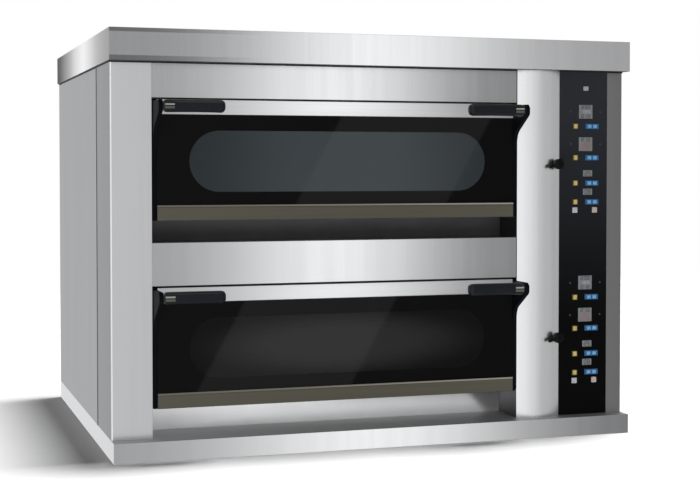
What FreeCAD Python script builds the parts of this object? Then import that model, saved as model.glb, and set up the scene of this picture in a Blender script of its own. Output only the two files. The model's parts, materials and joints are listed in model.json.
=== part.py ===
import FreeCAD, Part

import os
import re
import Sketcher
from FreeCAD import Placement, Rotation, Vector

# Double-deck electric baking oven for a bakery, four 400 x 600 mm trays.
# Row frame in millimetres: +Z up, the front faces -Y, +X to the right.
# Origin: on the floor, at the middle of the whole object's footprint.

DIMENSIONS = [
    # casing
    ("body_width", 1300), ("body_depth", 980), ("body_height", 866),
    ("plinth_height", 47), ("plinth_front", 40),
    ("cap_height", 74), ("cap_front", 30), ("cap_side", 5),
    ("sheet", 1.5), ("heavy_sheet", 2), ("bend_radius", 5),
    ("post_width", 96), ("side_return", 210), ("seam", 2.5), ("side_flange", 25),
    ("opening_width", 913), ("column_width", 115), ("column_bulge", 14),
    ("fascia_width", 133.5), ("fascia_thick", 5),
    ("header_height", 82), ("middle_height", 100.5),
    ("recess_depth", 105), ("return_depth", 53),
    # doors
    ("deck_pitch", 434), ("door_gap", 3), ("door_height", 279), ("door_depth", 45),
    ("door_side_gap", 2), ("side_plate", 10), ("pane", 5), ("inner_pane", 4),
    ("rail_height", 35), ("rail_proud", 1), ("bronze_proud", 4), ("bronze_chamfer", 7),
    ("window_width", 738), ("window_height", 142), ("window_drop", 142.5),
    ("hinge_set", 9), ("hinge_rise", 8), ("pin_radius", 4.5), ("pin_length", 18),
    ("pin_clearance", 0.05), ("bracket_size", 20), ("bracket_wide", 14),
    ("grip_length", 145), ("grip_height", 29), ("grip_depth", 28), ("grip_reach", 80),
    ("grip_drop", 4), ("grip_round", 7), ("ear_drop", 114), ("ear_foot", 42), ("ear_taper", 11),
    ("ear_bend", 30), ("ear_nose", 12),
    # baking chambers
    ("seal_thick", 6), ("seal_wide", 10), ("seal_offset", 6), ("seal_gap", 0.3),
    ("chamber_width", 860), ("chamber_height", 215), ("chamber_depth", 700),
    ("chamber_drop", 35), ("mouth_drop", 58), ("mouth_height", 167), ("frame_rise", 16),
    ("hearth_rise", 20), ("hearth_thick", 10), ("wool", 40),
    ("tube_radius", 5), ("tube_spacing", 60), ("tube_level", 10),
    ("upper_tube_level", 15), ("tube_start", 48), ("tube_hole", 6),
    ("lamp_radius", 21), ("lamp_rim", 28), ("lamp_depth", 64), ("lamp_set", 110),
    # exhaust
    ("damper_drop", 148.5), ("damper_across", 104), ("duct_size", 70), ("duct_set", 609),
    ("duct_length", 225), ("flue_radius", 30), ("flue_across", 166), ("rear_reach", 80),
    ("collar_radius", 45), ("rod_radius", 5), ("flap_size", 60), ("hub_radius", 13),
    ("hub_length", 20), ("hub_front", 32), ("lever_length", 24), ("lever_run", 23), ("lever_fall", 6),
    ("lever_tilt", 14.6), ("knob_radius", 5),
    # controls
    ("control_pitch", 431), ("key_size", 13.5), ("key_proud", 1.8), ("key_depth", 10),
    ("key_clearance", 0.4), ("rocker_width", 37), ("rocker_clearance", 0.7),
    ("rocker_pivot", 6.5), ("pivot_radius", 1.2), ("display_wide", 40), ("display_tall", 37),
    ("timer_wide", 28), ("timer_tall", 18), ("board_set", 16), ("board_tall", 300),
    ("indicator_wide", 14), ("indicator_tall", 11), ("indicator_rise", 43),
    # rear
    ("foot_hole", 5.5), ("foot_inset", 45), ("gusset", 80), ("gusset_thick", 4),
    ("gland_bore", 9), ("gland_thread", 16), ("gland_nut", 21),
    ("screw_head", 4.5), ("screw_shank", 2), ("screw_hole", 2.1),
]
NAMES = {name for name, _ in DIMENSIONS}

doc = FreeCAD.newDocument("DeckOven")
sheet = doc.addObject("Spreadsheet::Sheet", "Dims")
for row, (name, value) in enumerate(DIMENSIONS, 1):
    sheet.set(f"A{row}", name)
    sheet.set(f"B{row}", str(value))
    sheet.setAlias(f"B{row}", name)
doc.recompute()

nodes = {}  # node name -> document object


# ---- places, as expressions of the sheet's names -------------------------------------

LEFT = "-body_width / 2"
FRONT = "-body_depth / 2"
BACK = "body_depth / 2"
BODY_TOP = "plinth_height + body_height"
OPENING_LEFT = "-body_width / 2 + post_width"
OPENING_RIGHT = "-body_width / 2 + post_width + opening_width"
FASCIA_LEFT = OPENING_RIGHT + " + column_width"
CORE_LEFT = OPENING_LEFT + " + door_side_gap + side_plate"
CORE_WIDTH = "opening_width - 2 * door_side_gap - 2 * side_plate"
FRAME_FRONT = FRONT + " + door_depth + seal_gap + seal_thick"
CHAMBER_LEFT = OPENING_LEFT + " + (opening_width - chamber_width) / 2"
CHAMBER_FRONT = FRAME_FRONT + " + sheet"
DAMPER_X = OPENING_RIGHT + " + damper_across"

DECKS = {"upper": "0", "lower": "deck_pitch"}
CONTROL_DROP = {"upper": "0", "lower": "control_pitch"}


def door_top(deck):
    return f"(plinth_height + body_height - header_height - door_gap - {DECKS[deck]})"


def door_bottom(deck):
    return f"({door_top(deck)} - door_height)"


def chamber_floor(deck):
    return f"({door_top(deck)} - chamber_drop - chamber_height)"


def panel_centre(deck):
    """Height of the middle of one deck's group of controls."""
    return f"({door_top('upper')} - window_drop - {CONTROL_DROP[deck]})"


# ---- building blocks ------------------------------------------------------------------

def bound(text):
    """Turns sheet names into references to the sheet's cells."""
    return re.sub(r"[a-z_]+", lambda m: "Dims." + m[0] if m[0] in NAMES else m[0], text)


def number(text):
    """The value of an expression of sheet names."""
    return FreeCAD.Units.Quantity(re.sub(r"[a-z_]+", lambda m: str(sheet.get(m[0])), text)).Value


def set_place(obj, place, axis="Z"):
    """Binds the object's position; axis is where its own +Z points."""
    turns = {"Z": Rotation(), "X": Rotation(Vector(0, 1, 0), 90), "Y": Rotation(Vector(1, 0, 0), -90)}
    obj.Placement = Placement(Vector(), turns[axis])
    for letter, text in zip("xyz", place):
        obj.setExpression(".Placement.Base." + letter, bound(text))


def box(label, size, place):
    solid = doc.addObject("Part::Box", label)
    for side, text in zip(("Length", "Width", "Height"), size):
        solid.setExpression(side, bound(text))
    set_place(solid, place)
    return solid


def cylinder(label, radius, length, place, axis="Z"):
    solid = doc.addObject("Part::Cylinder", label)
    solid.setExpression("Radius", bound(radius))
    solid.setExpression("Height", bound(length))
    set_place(solid, place, axis)
    return solid


def fuse(label, parts):
    if len(parts) == 1:
        return parts[0]
    solid = doc.addObject("Part::MultiFuse", label)
    solid.Shapes = parts
    return solid


def cut(label, base, tools):
    solid = doc.addObject("Part::Cut", label)
    solid.Base = base
    solid.Tool = fuse(label + "_tools", tools)
    return solid


def group(label, parts):
    solid = doc.addObject("Part::Compound", label)
    solid.Links = parts
    return solid


def node(name, obj):
    """Declares a finished sub-part: its label names its file."""
    obj.Label = name
    nodes[name] = obj
    return obj


def plane_of(body, role):
    return next(f for f in body.Origin.OriginFeatures if f.Role == role)


def profile(label, plane, outline, length, place):
    """A PartDesign body: a closed outline whose corners are bound to the sheet, padded by length.
    plane XY pads along +Z, plane YZ along +X; outline coordinates are never negative."""
    body = doc.addObject("PartDesign::Body", label)
    sketch = body.newObject("Sketcher::SketchObject", label + "_sketch")
    sketch.AttachmentSupport = [(plane_of(body, plane + "_Plane"), "")]
    sketch.MapMode = "FlatFace"
    points = [Vector(number(across), number(along), 0) for across, along in outline]
    for i, start in enumerate(points):
        sketch.addGeometry(Part.LineSegment(start, points[(i + 1) % len(points)]), False)
    for i in range(len(points)):
        sketch.addConstraint(Sketcher.Constraint("Coincident", i, 2, (i + 1) % len(points), 1))
    for i, texts in enumerate(outline):
        for kind, value, text in zip(("DistanceX", "DistanceY"), points[i], texts):
            at = sketch.addConstraint(Sketcher.Constraint(kind, -1, 1, i, 1, value))
            sketch.renameConstraint(at, f"{kind[-1].lower()}_{i}")
            sketch.setExpression(f"Constraints.{kind[-1].lower()}_{i}", bound(text))
    pad = body.newObject("PartDesign::Pad", label + "_pad")
    pad.Profile = sketch
    pad.setExpression("Length", bound(length))
    body.Tip = pad
    set_place(body, place)
    doc.recompute()
    return body


def round_edges(body, radius, chosen):
    """Adds a fillet to the body's edges for which chosen(first point, last point) is true."""
    base = body.Tip
    names = []
    for i, edge in enumerate(base.Shape.Edges, 1):
        if chosen(edge.Vertexes[0].Point, edge.Vertexes[-1].Point):
            names.append(f"Edge{i}")
    fillet = body.newObject("PartDesign::Fillet", body.Name + "_fillet")
    fillet.Base = (base, names)
    fillet.setExpression("Radius", bound(radius))
    body.Tip = fillet
    doc.recompute()
    return body


def along(axis, **at):
    """Chooses the edges that run along an axis through the given coordinates."""
    index = "xyz".index(axis)
    fixed = {"xyz".index(k): number(v) for k, v in at.items()}

    def chosen(a, b):
        runs = abs(a[index] - b[index]) > 1e-6
        others = [k for k in range(3) if k != index]
        straight = all(abs(a[k] - b[k]) < 1e-6 for k in others)
        return runs and straight and all(abs(a[k] - v) < 1e-4 for k, v in fixed.items())

    return chosen


def obround(label, width, height, depth, centre_x, front_y, centre_z):
    """A bar along Y with a section of two half circles joined by straight lines."""
    half = f"({height}) / 2"
    straight = f"({width}) - ({height})"
    parts = [box(label + "_middle", (straight, depth, height),
                 (f"{centre_x} - ({straight}) / 2", front_y, f"{centre_z} - {half}"))]
    for side, sign in (("left", "-"), ("right", "+")):
        parts.append(cylinder(f"{label}_{side}", half, depth,
                              (f"{centre_x} {sign} ({straight}) / 2", front_y, centre_z), "Y"))
    return fuse(label, parts)


# ---- casing ---------------------------------------------------------------------------

def make_plinth():
    """Low base tray: skirt, top plate and four drilled corner gussets under it."""
    depth = "body_depth + plinth_front"
    skirt = box("plinth_block", ("body_width", depth, "plinth_height"),
                (LEFT, FRONT + " - plinth_front", "0"))
    hollow = box("plinth_hollow",
                 ("body_width - 2 * heavy_sheet", depth + " - 2 * heavy_sheet",
                  "plinth_height - heavy_sheet"),
                 (LEFT + " + heavy_sheet", FRONT + " - plinth_front + heavy_sheet", "0"))
    shell = cut("plinth_shell", skirt, [hollow])
    gussets = []
    holes = []
    for side, x in (("left", LEFT), ("right", "body_width / 2 - gusset")):
        for end, y in (("front", FRONT + " - plinth_front"), ("rear", BACK + " - gusset")):
            name = f"gusset_{end}_{side}"
            gussets.append(box(name, ("gusset", "gusset", "gusset_thick"), (x, y, "0")))
            hole_x = f"{LEFT} + foot_inset" if side == "left" else "body_width / 2 - foot_inset"
            hole_y = f"{FRONT} - plinth_front + foot_inset" if end == "front" else f"{BACK} - foot_inset"
            holes.append(cylinder(name + "_hole", "foot_hole", "gusset_thick * 3",
                                  (hole_x, hole_y, "-gusset_thick")))
    node("plinth_frame", cut("plinth_frame", fuse("plinth_welded", [shell] + gussets), holes))


def make_posts():
    """The two folded front corners: a front face and a return along the side."""
    wide = "post_width"
    left = profile("left_front_post", "XY",
                   [("0", "0"), (wide, "0"), (wide, "sheet"), ("sheet", "sheet"),
                    ("sheet", "side_return"), ("0", "side_return")],
                   "body_height", (LEFT, FRONT, "plinth_height"))
    round_edges(left, "bend_radius - sheet", along("z", x="sheet", y="sheet"))
    node("left_front_post", round_edges(left, "bend_radius", along("z", x="0", y="0")))
    narrow = "body_width - post_width - opening_width - column_width - fascia_width"
    right = profile("right_front_post", "XY",
                    [("0", "0"), (narrow, "0"), (narrow, "side_return"),
                     (narrow + " - sheet", "side_return"),
                     (narrow + " - sheet", "sheet"), ("0", "sheet")],
                    "body_height", (FASCIA_LEFT + " + fascia_width", FRONT, "plinth_height"))
    round_edges(right, "bend_radius - sheet", along("z", x=narrow + " - sheet", y="sheet"))
    node("right_front_post", round_edges(right, "bend_radius", along("z", x=narrow, y="0")))


def make_side_panels():
    """The two removable side sheets behind the posts, with a narrow seam in front of each."""
    length = "body_depth - side_return - seam"
    panels = []
    for side, x in (("left", LEFT), ("right", "body_width / 2 - sheet")):
        wall = box(f"{side}_side_sheet", ("sheet", length, "body_height"),
                   (x, FRONT + " + side_return + seam", "plinth_height"))
        flange_x = LEFT + " + sheet" if side == "left" else "body_width / 2 - sheet - side_flange"
        flange = box(f"{side}_rear_flange", ("side_flange", "sheet", "body_height"),
                     (flange_x, BACK + " - 2 * sheet", "plinth_height"))
        holes = [cylinder(f"{side}_flange_hole_{i}", "screw_hole", "sheet * 4",
                          (x, BACK + " - sheet * 3", z), "Y")
                 for i, (x, z) in enumerate(screw_places()) if (side == "left") == x.startswith("-")]
        panels.append(cut(f"{side}_side_panel", fuse(f"{side}_side_folded", [wall, flange]), holes))
    node("side_panels", group("side_panels", panels))


def screw_places():
    """Two columns of seven screws, in from the back panel's side edges."""
    for column in ("-body_width / 2 + 14", "body_width / 2 - 14"):
        for i in range(7):
            yield column, f"plinth_height + 20 + {i} * (body_height - 40) / 6"


def make_back_panel():
    """Rear sheet with holes for the flues, the cable gland and the screws, and two louvre fields."""
    plate = box("back_sheet", ("body_width - 2 * sheet", "sheet", "body_height"),
                (LEFT + " + sheet", BACK + " - sheet", "plinth_height"))
    through = "sheet * 4"
    start = BACK + " - sheet * 2"
    holes = [cylinder("gland_hole", "gland_thread", through, (GLAND_X, start, GLAND_Z), "Y")]
    for deck in DECKS:
        holes.append(cylinder(f"{deck}_flue_hole", "flue_radius - sheet", through,
                              (FLUE_X, start, damper_height(deck)), "Y"))
    for i, (x, z) in enumerate(screw_places()):
        holes.append(cylinder(f"screw_hole_{i}", "screw_hole", through, (x, start, z), "Y"))
    for field, x in (("control", "body_width / 2 - 250"), ("chamber", "-body_width / 2 + 180")):
        for i in range(8):
            holes.append(box(f"{field}_slot_{i}", ("150", through, "7"),
                             (x, start, f"plinth_height + 360 + {i} * 18")))
    node("back_panel", cut("back_panel", plate, holes))


def make_screws():
    """Pan-head screws that hold the back panel."""
    screws = []
    for i, (x, z) in enumerate(screw_places()):
        head = cylinder(f"screw_head_{i}", "screw_head", "screw_shank * 1.25", (x, BACK, z), "Y")
        shank = cylinder(f"screw_shank_{i}", "screw_shank", "10", (x, BACK + " - 10", z), "Y")
        screws.append(fuse(f"screw_{i}", [head, shank]))
    node("casing_screws", group("casing_screws", screws))


def make_cap():
    """Deep lid that overhangs the front: a folded tray, open below inside its flanges."""
    wide = "body_width + 2 * cap_side"
    deep = "body_depth + cap_front"
    block = box("cap_block", (wide, deep, "cap_height"),
                (LEFT + " - cap_side", FRONT + " - cap_front", BODY_TOP))
    inside = box("cap_inside", (wide + " - 2 * sheet", deep + " - 2 * sheet", "cap_height - 2 * sheet"),
                 (LEFT + " - cap_side + sheet", FRONT + " - cap_front + sheet", BODY_TOP + " + sheet"))
    opening = box("cap_opening", ("body_width - 40", "body_depth - 40", "sheet * 3"),
                  (LEFT + " + 20", FRONT + " + 20", BODY_TOP + " - sheet"))
    node("top_cap", cut("top_cap", block, [inside, opening]))


def make_front_panels():
    """Folded panels across the front: above the doors, between them, and behind the two recesses."""
    header = profile("header_panel", "YZ",
                     [("0", "0"), ("return_depth", "0"), ("return_depth", "sheet"), ("sheet", "sheet"),
                      ("sheet", "header_height - sheet"), ("return_depth / 2", "header_height - sheet"),
                      ("return_depth / 2", "header_height"), ("0", "header_height")],
                     "opening_width", (OPENING_LEFT, FRONT, BODY_TOP + " - header_height"))
    node("header_panel", round_edges(header, "sheet", along("x", y="0", z="0")))
    deep = "recess_depth + sheet"
    middle = profile("middle_panel", "YZ",
                     [("0", "0"), ("return_depth", "0"), ("return_depth", "sheet"), ("sheet", "sheet"),
                      ("sheet", "middle_height - sheet"), (deep, "middle_height - sheet"),
                      (deep, "middle_height"), ("0", "middle_height")],
                     "opening_width", (OPENING_LEFT, FRONT, MIDDLE_BOTTOM))
    round_edges(middle, "sheet", along("x", y="0", z="0"))
    node("middle_panel", round_edges(middle, "sheet", along("x", y="0", z="middle_height")))
    lip = "recess_depth - door_depth - seal_gap - seal_thick"
    for name, deck, bottom in (("upper_sill_panel", "upper", MIDDLE_BOTTOM + " + middle_height"),
                               ("kick_panel", "lower", "plinth_height")):
        tall = f"({door_bottom(deck)} + frame_rise) - ({bottom})"
        panel = profile(name, "YZ",
                        [("0", tall + " - sheet"), (lip, tall + " - sheet"), (lip, "0"),
                         (lip + " + sheet", "0"),
                         (lip + " + sheet", tall), ("0", tall)],
                        "opening_width", (OPENING_LEFT, FRAME_FRONT, bottom))
        node(name, panel)


def make_jambs():
    """Upright sheets on both sides of the door openings, drilled for the hinge pins."""
    walls = []
    for side, x in (("left", OPENING_LEFT + " - sheet"), ("right", OPENING_RIGHT)):
        wall = box(f"{side}_jamb_sheet", ("sheet", "recess_depth + 3", "body_height"),
                   (x, FRONT + " + heavy_sheet", "plinth_height"))
        holes = [cylinder(f"{side}_{deck}_pin_hole", "pin_radius + 2", "sheet * 3",
                          (x + " - sheet", HINGE_Y, hinge_height(deck)), "X")
                 for deck in DECKS]
        walls.append(cut(f"{side}_jamb", wall, holes))
    node("jamb_walls", group("jamb_walls", walls))


def make_column():
    """Bowed cover between the doors and the controls, drilled for the damper rods."""
    radius = "((column_width * column_width / 4 + column_bulge * column_bulge) / (2 * column_bulge))"
    centre = (OPENING_RIGHT + " + column_width / 2", f"{FRONT} - column_bulge + {radius}", "plinth_height")
    ring = cut("column_ring", cylinder("column_outer", radius, "body_height", centre),
               [cylinder("column_inner", radius + " - sheet", "body_height", centre)])
    front = box("column_front", ("column_width", "column_bulge + heavy_sheet", "body_height"),
                (OPENING_RIGHT, FRONT + " - column_bulge", "plinth_height"))
    bowed = doc.addObject("Part::Common", "column_bowed")
    bowed.Base = ring
    bowed.Tool = front
    holes = [cylinder(f"{deck}_rod_hole", "rod_radius + 1.5", "60",
                      (DAMPER_X, FRONT + " - 40", damper_height(deck)), "Y")
             for deck in DECKS]
    node("column_cover", cut("column_cover", bowed, holes))


# ---- doors ----------------------------------------------------------------------------

def hinge_height(deck):
    return f"({door_bottom(deck)} + hinge_rise)"


def damper_height(deck):
    return f"({door_top(deck)} - damper_drop)"


HINGE_Y = FRONT + " + hinge_set"
MIDDLE_BOTTOM = f"({door_top('lower')} + door_gap + 0.5)"
GLAND_X = "body_width / 2 - 130"
GLAND_Z = "plinth_height + 83"
FLUE_X = OPENING_RIGHT + " + flue_across"


def make_hinge_brackets():
    """Bearing blocks outside the jambs, one for each hinge pin."""
    blocks = []
    for deck in DECKS:
        for side, x in (("left", OPENING_LEFT + " - sheet - 0.5 - bracket_wide"),
                        ("right", OPENING_RIGHT + " + sheet + 0.5")):
            name = f"{deck}_{side}_bracket"
            block = box(name + "_block", ("bracket_wide", "bracket_size + 8", "bracket_size + 8"),
                        (x, FRONT + " + heavy_sheet", hinge_height(deck) + " - bracket_size / 2 - 4"))
            bore = cylinder(name + "_bore", "pin_radius + pin_clearance", "bracket_wide * 2",
                            (x + " - bracket_wide / 2", HINGE_Y, hinge_height(deck)), "X")
            blocks.append(cut(name, block, [bore]))
    node("hinge_brackets", group("hinge_brackets", blocks))


def make_door(deck):
    """One door: sheet pan, two panes, top and bottom rails, two grips, and on each side
    a plate with its hinge pin and the ear that carries the grip."""
    bottom = door_bottom(deck)
    centre_x = f"{CORE_LEFT} + ({CORE_WIDTH}) / 2"
    window_z = f"{door_top(deck)} - window_drop"
    pan_front = FRONT + " + pane"
    pan_depth = "(door_depth - pane)"
    block = box(f"{deck}_pan_block", (CORE_WIDTH, pan_depth, "door_height"), (CORE_LEFT, pan_front, bottom))
    hollow = box(f"{deck}_pan_hollow", (CORE_WIDTH + " - 2 * sheet", pan_depth, "door_height - 2 * sheet"),
                 (CORE_LEFT + " + sheet", pan_front + " - heavy_sheet", bottom + " + sheet"))
    collar = obround(f"{deck}_window_collar", "window_width + 2 * sheet", "window_height + 2 * sheet",
                     pan_depth,
                     centre_x, pan_front, window_z)
    hole = obround(f"{deck}_window_hole", "window_width", "window_height", "door_depth", centre_x,
                   pan_front, window_z)
    pan = fuse(f"{deck}_pan_welded", [cut(f"{deck}_pan", block, [hollow]), collar])
    node(f"{deck}_door_frame", cut(f"{deck}_door_frame", pan, [hole]))

    outer = box(f"{deck}_outer_pane", (CORE_WIDTH, "pane", "door_height - 2 * rail_height"),
                (CORE_LEFT, FRONT, bottom + " + rail_height"))
    inner = obround(f"{deck}_inner_pane", "window_width - 0.4", "window_height - 0.4", "inner_pane",
                    centre_x, FRONT + " + door_depth - 6", window_z)
    node(f"{deck}_door_panes", group(f"{deck}_door_panes", [outer, inner]))

    rail_deep = "(pane + rail_proud)"
    top = profile(f"{deck}_door_top_rail", "YZ",
                  [("0", "0"), (rail_deep, "0"), (rail_deep, "rail_height"), ("0", "rail_height")],
                  CORE_WIDTH, (CORE_LEFT, FRONT + " - rail_proud", f"{door_top(deck)} - rail_height"))
    node(f"{deck}_door_top_rail", round_edges(top, "sheet", along("x", y="0")))
    bronze_deep = "(pane + bronze_proud)"
    trim = profile(f"{deck}_door_bottom_rail", "YZ",
                   [("0", "0"), (bronze_deep, "0"), (bronze_deep, "rail_height"),
                    ("bronze_chamfer * 0.55", "rail_height"), ("0", "rail_height - bronze_chamfer")],
                   CORE_WIDTH, (CORE_LEFT, FRONT + " - bronze_proud", bottom))
    node(f"{deck}_door_bottom_rail", round_edges(trim, "sheet / 2", along("x", y="0", z="0")))

    grip_top = "(door_height - grip_drop)"
    grip_low = "(door_height - grip_drop - grip_height)"
    ear_foot = ("grip_reach - ear_taper", "door_height - ear_drop + ear_foot")
    ear = [("grip_reach", "door_height - ear_drop"), ("grip_reach", grip_top), ("8", grip_top),
           ("0", grip_top + " - 8"), ("0", grip_low + " + 4"), ear_foot]
    plates = []
    grips = []
    for side in ("left", "right"):
        plate_x = OPENING_LEFT + " + door_side_gap" if side == "left" else CORE_LEFT + " + " + CORE_WIDTH
        pin_x = plate_x + (" - pin_length" if side == "left" else " + side_plate")
        plates.append(box(f"{deck}_{side}_plate", ("side_plate", "door_depth", "door_height"),
                          (plate_x, FRONT, bottom)))
        plates.append(cylinder(f"{deck}_{side}_pin", "pin_radius", "pin_length",
                               (pin_x, HINGE_Y, hinge_height(deck)), "X"))
        plate = profile(f"{deck}_{side}_ear", "YZ", ear, "side_plate",
                        (plate_x, FRONT + " - grip_reach", bottom))
        round_edges(plate, "ear_bend", along("x", y=ear_foot[0], z=ear_foot[1]))
        plates.append(round_edges(plate, "ear_nose", along("x", y="0", z=grip_low + " + 4")))
        grip_x = CORE_LEFT if side == "left" else CORE_LEFT + " + " + CORE_WIDTH + " - grip_length"
        grip = profile(f"{deck}_{side}_grip", "XY",
                       [("0", "0"), ("grip_length", "0"), ("grip_length", "grip_depth"),
                        ("0", "grip_depth")],
                       "grip_height", (grip_x, FRONT + " - grip_reach",
                                       f"{door_top(deck)} - grip_drop - grip_height"))
        free_end = "grip_length" if side == "left" else "0"
        round_edges(grip, "grip_round", along("z", x=free_end))
        for level in ("0", "grip_height"):
            round_edges(grip, "grip_round / 2", along("x", y="0", z=level))
        grips.append(grip)
    node(f"{deck}_door_side_plates", group(f"{deck}_door_side_plates", plates))
    node(f"{deck}_door_handles", group(f"{deck}_door_handles", grips))


# ---- baking chambers ------------------------------------------------------------------

def tube_rows():
    """How far back each heating tube's middle lies: three to a level."""
    for i in range(3):
        yield i, f"{CHAMBER_FRONT} + {2 * i + 1} * chamber_depth / 6"


def tube_levels(deck):
    floor = chamber_floor(deck)
    return {"low": f"({floor} + tube_level)", "high": f"({floor} + chamber_height - upper_tube_level)"}


def wall_holes(deck, tag, start_x, length, duct):
    """Tools that open a right-hand wall for the heating tubes, the lamp and the exhaust duct's square."""
    tools = []
    for level, z in tube_levels(deck).items():
        for i, y in tube_rows():
            for leg, sign in (("front", "-"), ("rear", "+")):
                name = f"{deck}_{tag}_{level}_{i}_{leg}"
                tools.append(cylinder(name, "tube_hole", length,
                                      (start_x, f"{y} {sign} tube_spacing / 2", z), "X"))
    tools.append(cylinder(f"{deck}_{tag}_lamp", "lamp_radius + 0.5", length,
                          (start_x, LAMP_Y, lamp_height(deck)), "X"))
    tools.append(box(f"{deck}_{tag}_duct", (length, duct, duct),
                     (start_x, f"{DUCT_FRONT} + (duct_size - ({duct})) / 2",
                      f"{damper_height(deck)} - ({duct}) / 2")))
    return tools


LAMP_Y = CHAMBER_FRONT + " + lamp_set"
DUCT_FRONT = f"({CHAMBER_FRONT} + duct_set)"
CHAMBER_RIGHT = CHAMBER_LEFT + " + chamber_width"


def lamp_height(deck):
    return f"({door_top(deck)} - window_drop)"


def make_chamber(deck):
    """Liner of flat sheets, a front frame around the mouth, and posts under the hearth plate."""
    floor = chamber_floor(deck)
    mouth_top = f"({door_top(deck)} - mouth_drop)"
    frame_low = f"({door_bottom(deck)} + frame_rise)"
    frame_high = f"({door_top(deck)} + door_gap)"
    wall = "heavy_sheet"
    outside = "chamber_width + 2 * heavy_sheet"
    parts = []

    def part(name, size, place):
        parts.append(box(f"{deck}_{name}", size, place))

    part("liner_floor", ("chamber_width", "chamber_depth", wall),
         (CHAMBER_LEFT, CHAMBER_FRONT, floor + " - heavy_sheet"))
    part("liner_ceiling", ("chamber_width", "chamber_depth", wall),
         (CHAMBER_LEFT, CHAMBER_FRONT, floor + " + chamber_height"))
    tall = "chamber_height + 2 * heavy_sheet"
    low = floor + " - heavy_sheet"
    part("liner_left", (wall, "chamber_depth", tall), (CHAMBER_LEFT + " - heavy_sheet", CHAMBER_FRONT, low))
    right = box(f"{deck}_liner_right_blank", (wall, "chamber_depth", tall),
                (CHAMBER_RIGHT, CHAMBER_FRONT, low))
    parts.append(cut(f"{deck}_liner_right", right, wall_holes(deck, "liner", CHAMBER_RIGHT + " - 2", "6",
                                                              "duct_size - 2 * sheet")))
    part("liner_back", (outside, wall, tall), (CHAMBER_LEFT + " - heavy_sheet",
                                               CHAMBER_FRONT + " + chamber_depth", low))
    part("frame_top", ("opening_width", "sheet", f"{frame_high} - {mouth_top}"),
         (OPENING_LEFT, FRAME_FRONT, mouth_top))
    part("frame_bottom", ("opening_width", "sheet", f"{mouth_top} - mouth_height - {frame_low}"),
         (OPENING_LEFT, FRAME_FRONT, frame_low))
    margin = "(opening_width - chamber_width) / 2"
    for side, x in (("left", OPENING_LEFT), ("right", CHAMBER_RIGHT)):
        part(f"frame_{side}", (margin, "sheet", "mouth_height"),
             (x, FRAME_FRONT, f"{mouth_top} - mouth_height"))
    for i in range(4):
        y = f"{CHAMBER_FRONT} + 5 + {i} * (chamber_depth - 10 - hearth_rise) / 3"
        for side, x in (("left", CHAMBER_LEFT + " + 5"), ("right", CHAMBER_RIGHT + " - 5 - hearth_rise")):
            part(f"post_{side}_{i}", ("hearth_rise", "hearth_rise", "hearth_rise"), (x, y, floor))
    node(f"{deck}_chamber", group(f"{deck}_chamber", parts))


def make_hearths():
    plates = [box(f"{deck}_hearth", ("chamber_width - 4", "chamber_depth - 6", "hearth_thick"),
                  (CHAMBER_LEFT + " + 2", CHAMBER_FRONT + " + 3", chamber_floor(deck) + " + hearth_rise"))
              for deck in DECKS]
    node("hearth_plates", group("hearth_plates", plates))


def make_heating_elements():
    """Sheathed hairpin tubes: two straight legs and a half-round bend at the closed end."""
    tubes = []
    length = "chamber_width - tube_start + 40"
    for deck in DECKS:
        for level, z in tube_levels(deck).items():
            for i, y in tube_rows():
                name = f"{deck}_{level}_tube_{i}"
                start = CHAMBER_LEFT + " + tube_start"
                legs = [cylinder(f"{name}_{leg}_leg", "tube_radius", length,
                                 (start, f"{y} {sign} tube_spacing / 2", z), "X")
                        for leg, sign in (("front", "-"), ("rear", "+"))]
                bend = doc.addObject("Part::Torus", name + "_bend")
                bend.setExpression("Radius1", bound("tube_spacing / 2"))
                bend.setExpression("Radius2", bound("tube_radius"))
                bend.Angle3 = 180
                set_place(bend, (start, y, z))
                bend.Placement = Placement(bend.Placement.Base, Rotation(Vector(0, 0, 1), 90))
                tubes.append(fuse(name, legs + [bend]))
    node("heating_elements", group("heating_elements", tubes))


def make_gaskets():
    """Four flat rope seals round each mouth, held on the front frame."""
    strips = []
    inner_left = f"{CHAMBER_LEFT} - seal_offset"
    inner_wide = "chamber_width + 2 * seal_offset"
    for deck in DECKS:
        low = f"({door_top(deck)} - mouth_drop - mouth_height - seal_offset)"
        inner_tall = "mouth_height + 2 * seal_offset"
        y = f"{FRAME_FRONT} - seal_thick"
        for end, z in (("bottom", low + " - seal_wide"), ("top", f"{low} + {inner_tall}")):
            strips.append(box(f"{deck}_seal_{end}", (inner_wide + " + 2 * seal_wide", "seal_thick",
                                                     "seal_wide"),
                              (inner_left + " - seal_wide", y, z)))
        for side, x in (("left", inner_left + " - seal_wide"), ("right", f"{inner_left} + {inner_wide}")):
            strips.append(box(f"{deck}_seal_{side}", ("seal_wide", "seal_thick", inner_tall), (x, y, low)))
    node("door_gaskets", group("door_gaskets", strips))


def make_lamps():
    """Oven lamps let into the right-hand wall: a rim inside the chamber and a barrel behind it."""
    lamps = []
    for deck in DECKS:
        rim = cylinder(f"{deck}_lamp_rim", "lamp_rim", "4",
                       (CHAMBER_RIGHT + " - 4", LAMP_Y, lamp_height(deck)), "X")
        barrel = cylinder(f"{deck}_lamp_barrel", "lamp_radius", "lamp_depth - 4",
                          (CHAMBER_RIGHT, LAMP_Y, lamp_height(deck)), "X")
        lamps.append(fuse(f"{deck}_lamp", [rim, barrel]))
    node("chamber_lamps", group("chamber_lamps", lamps))


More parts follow.
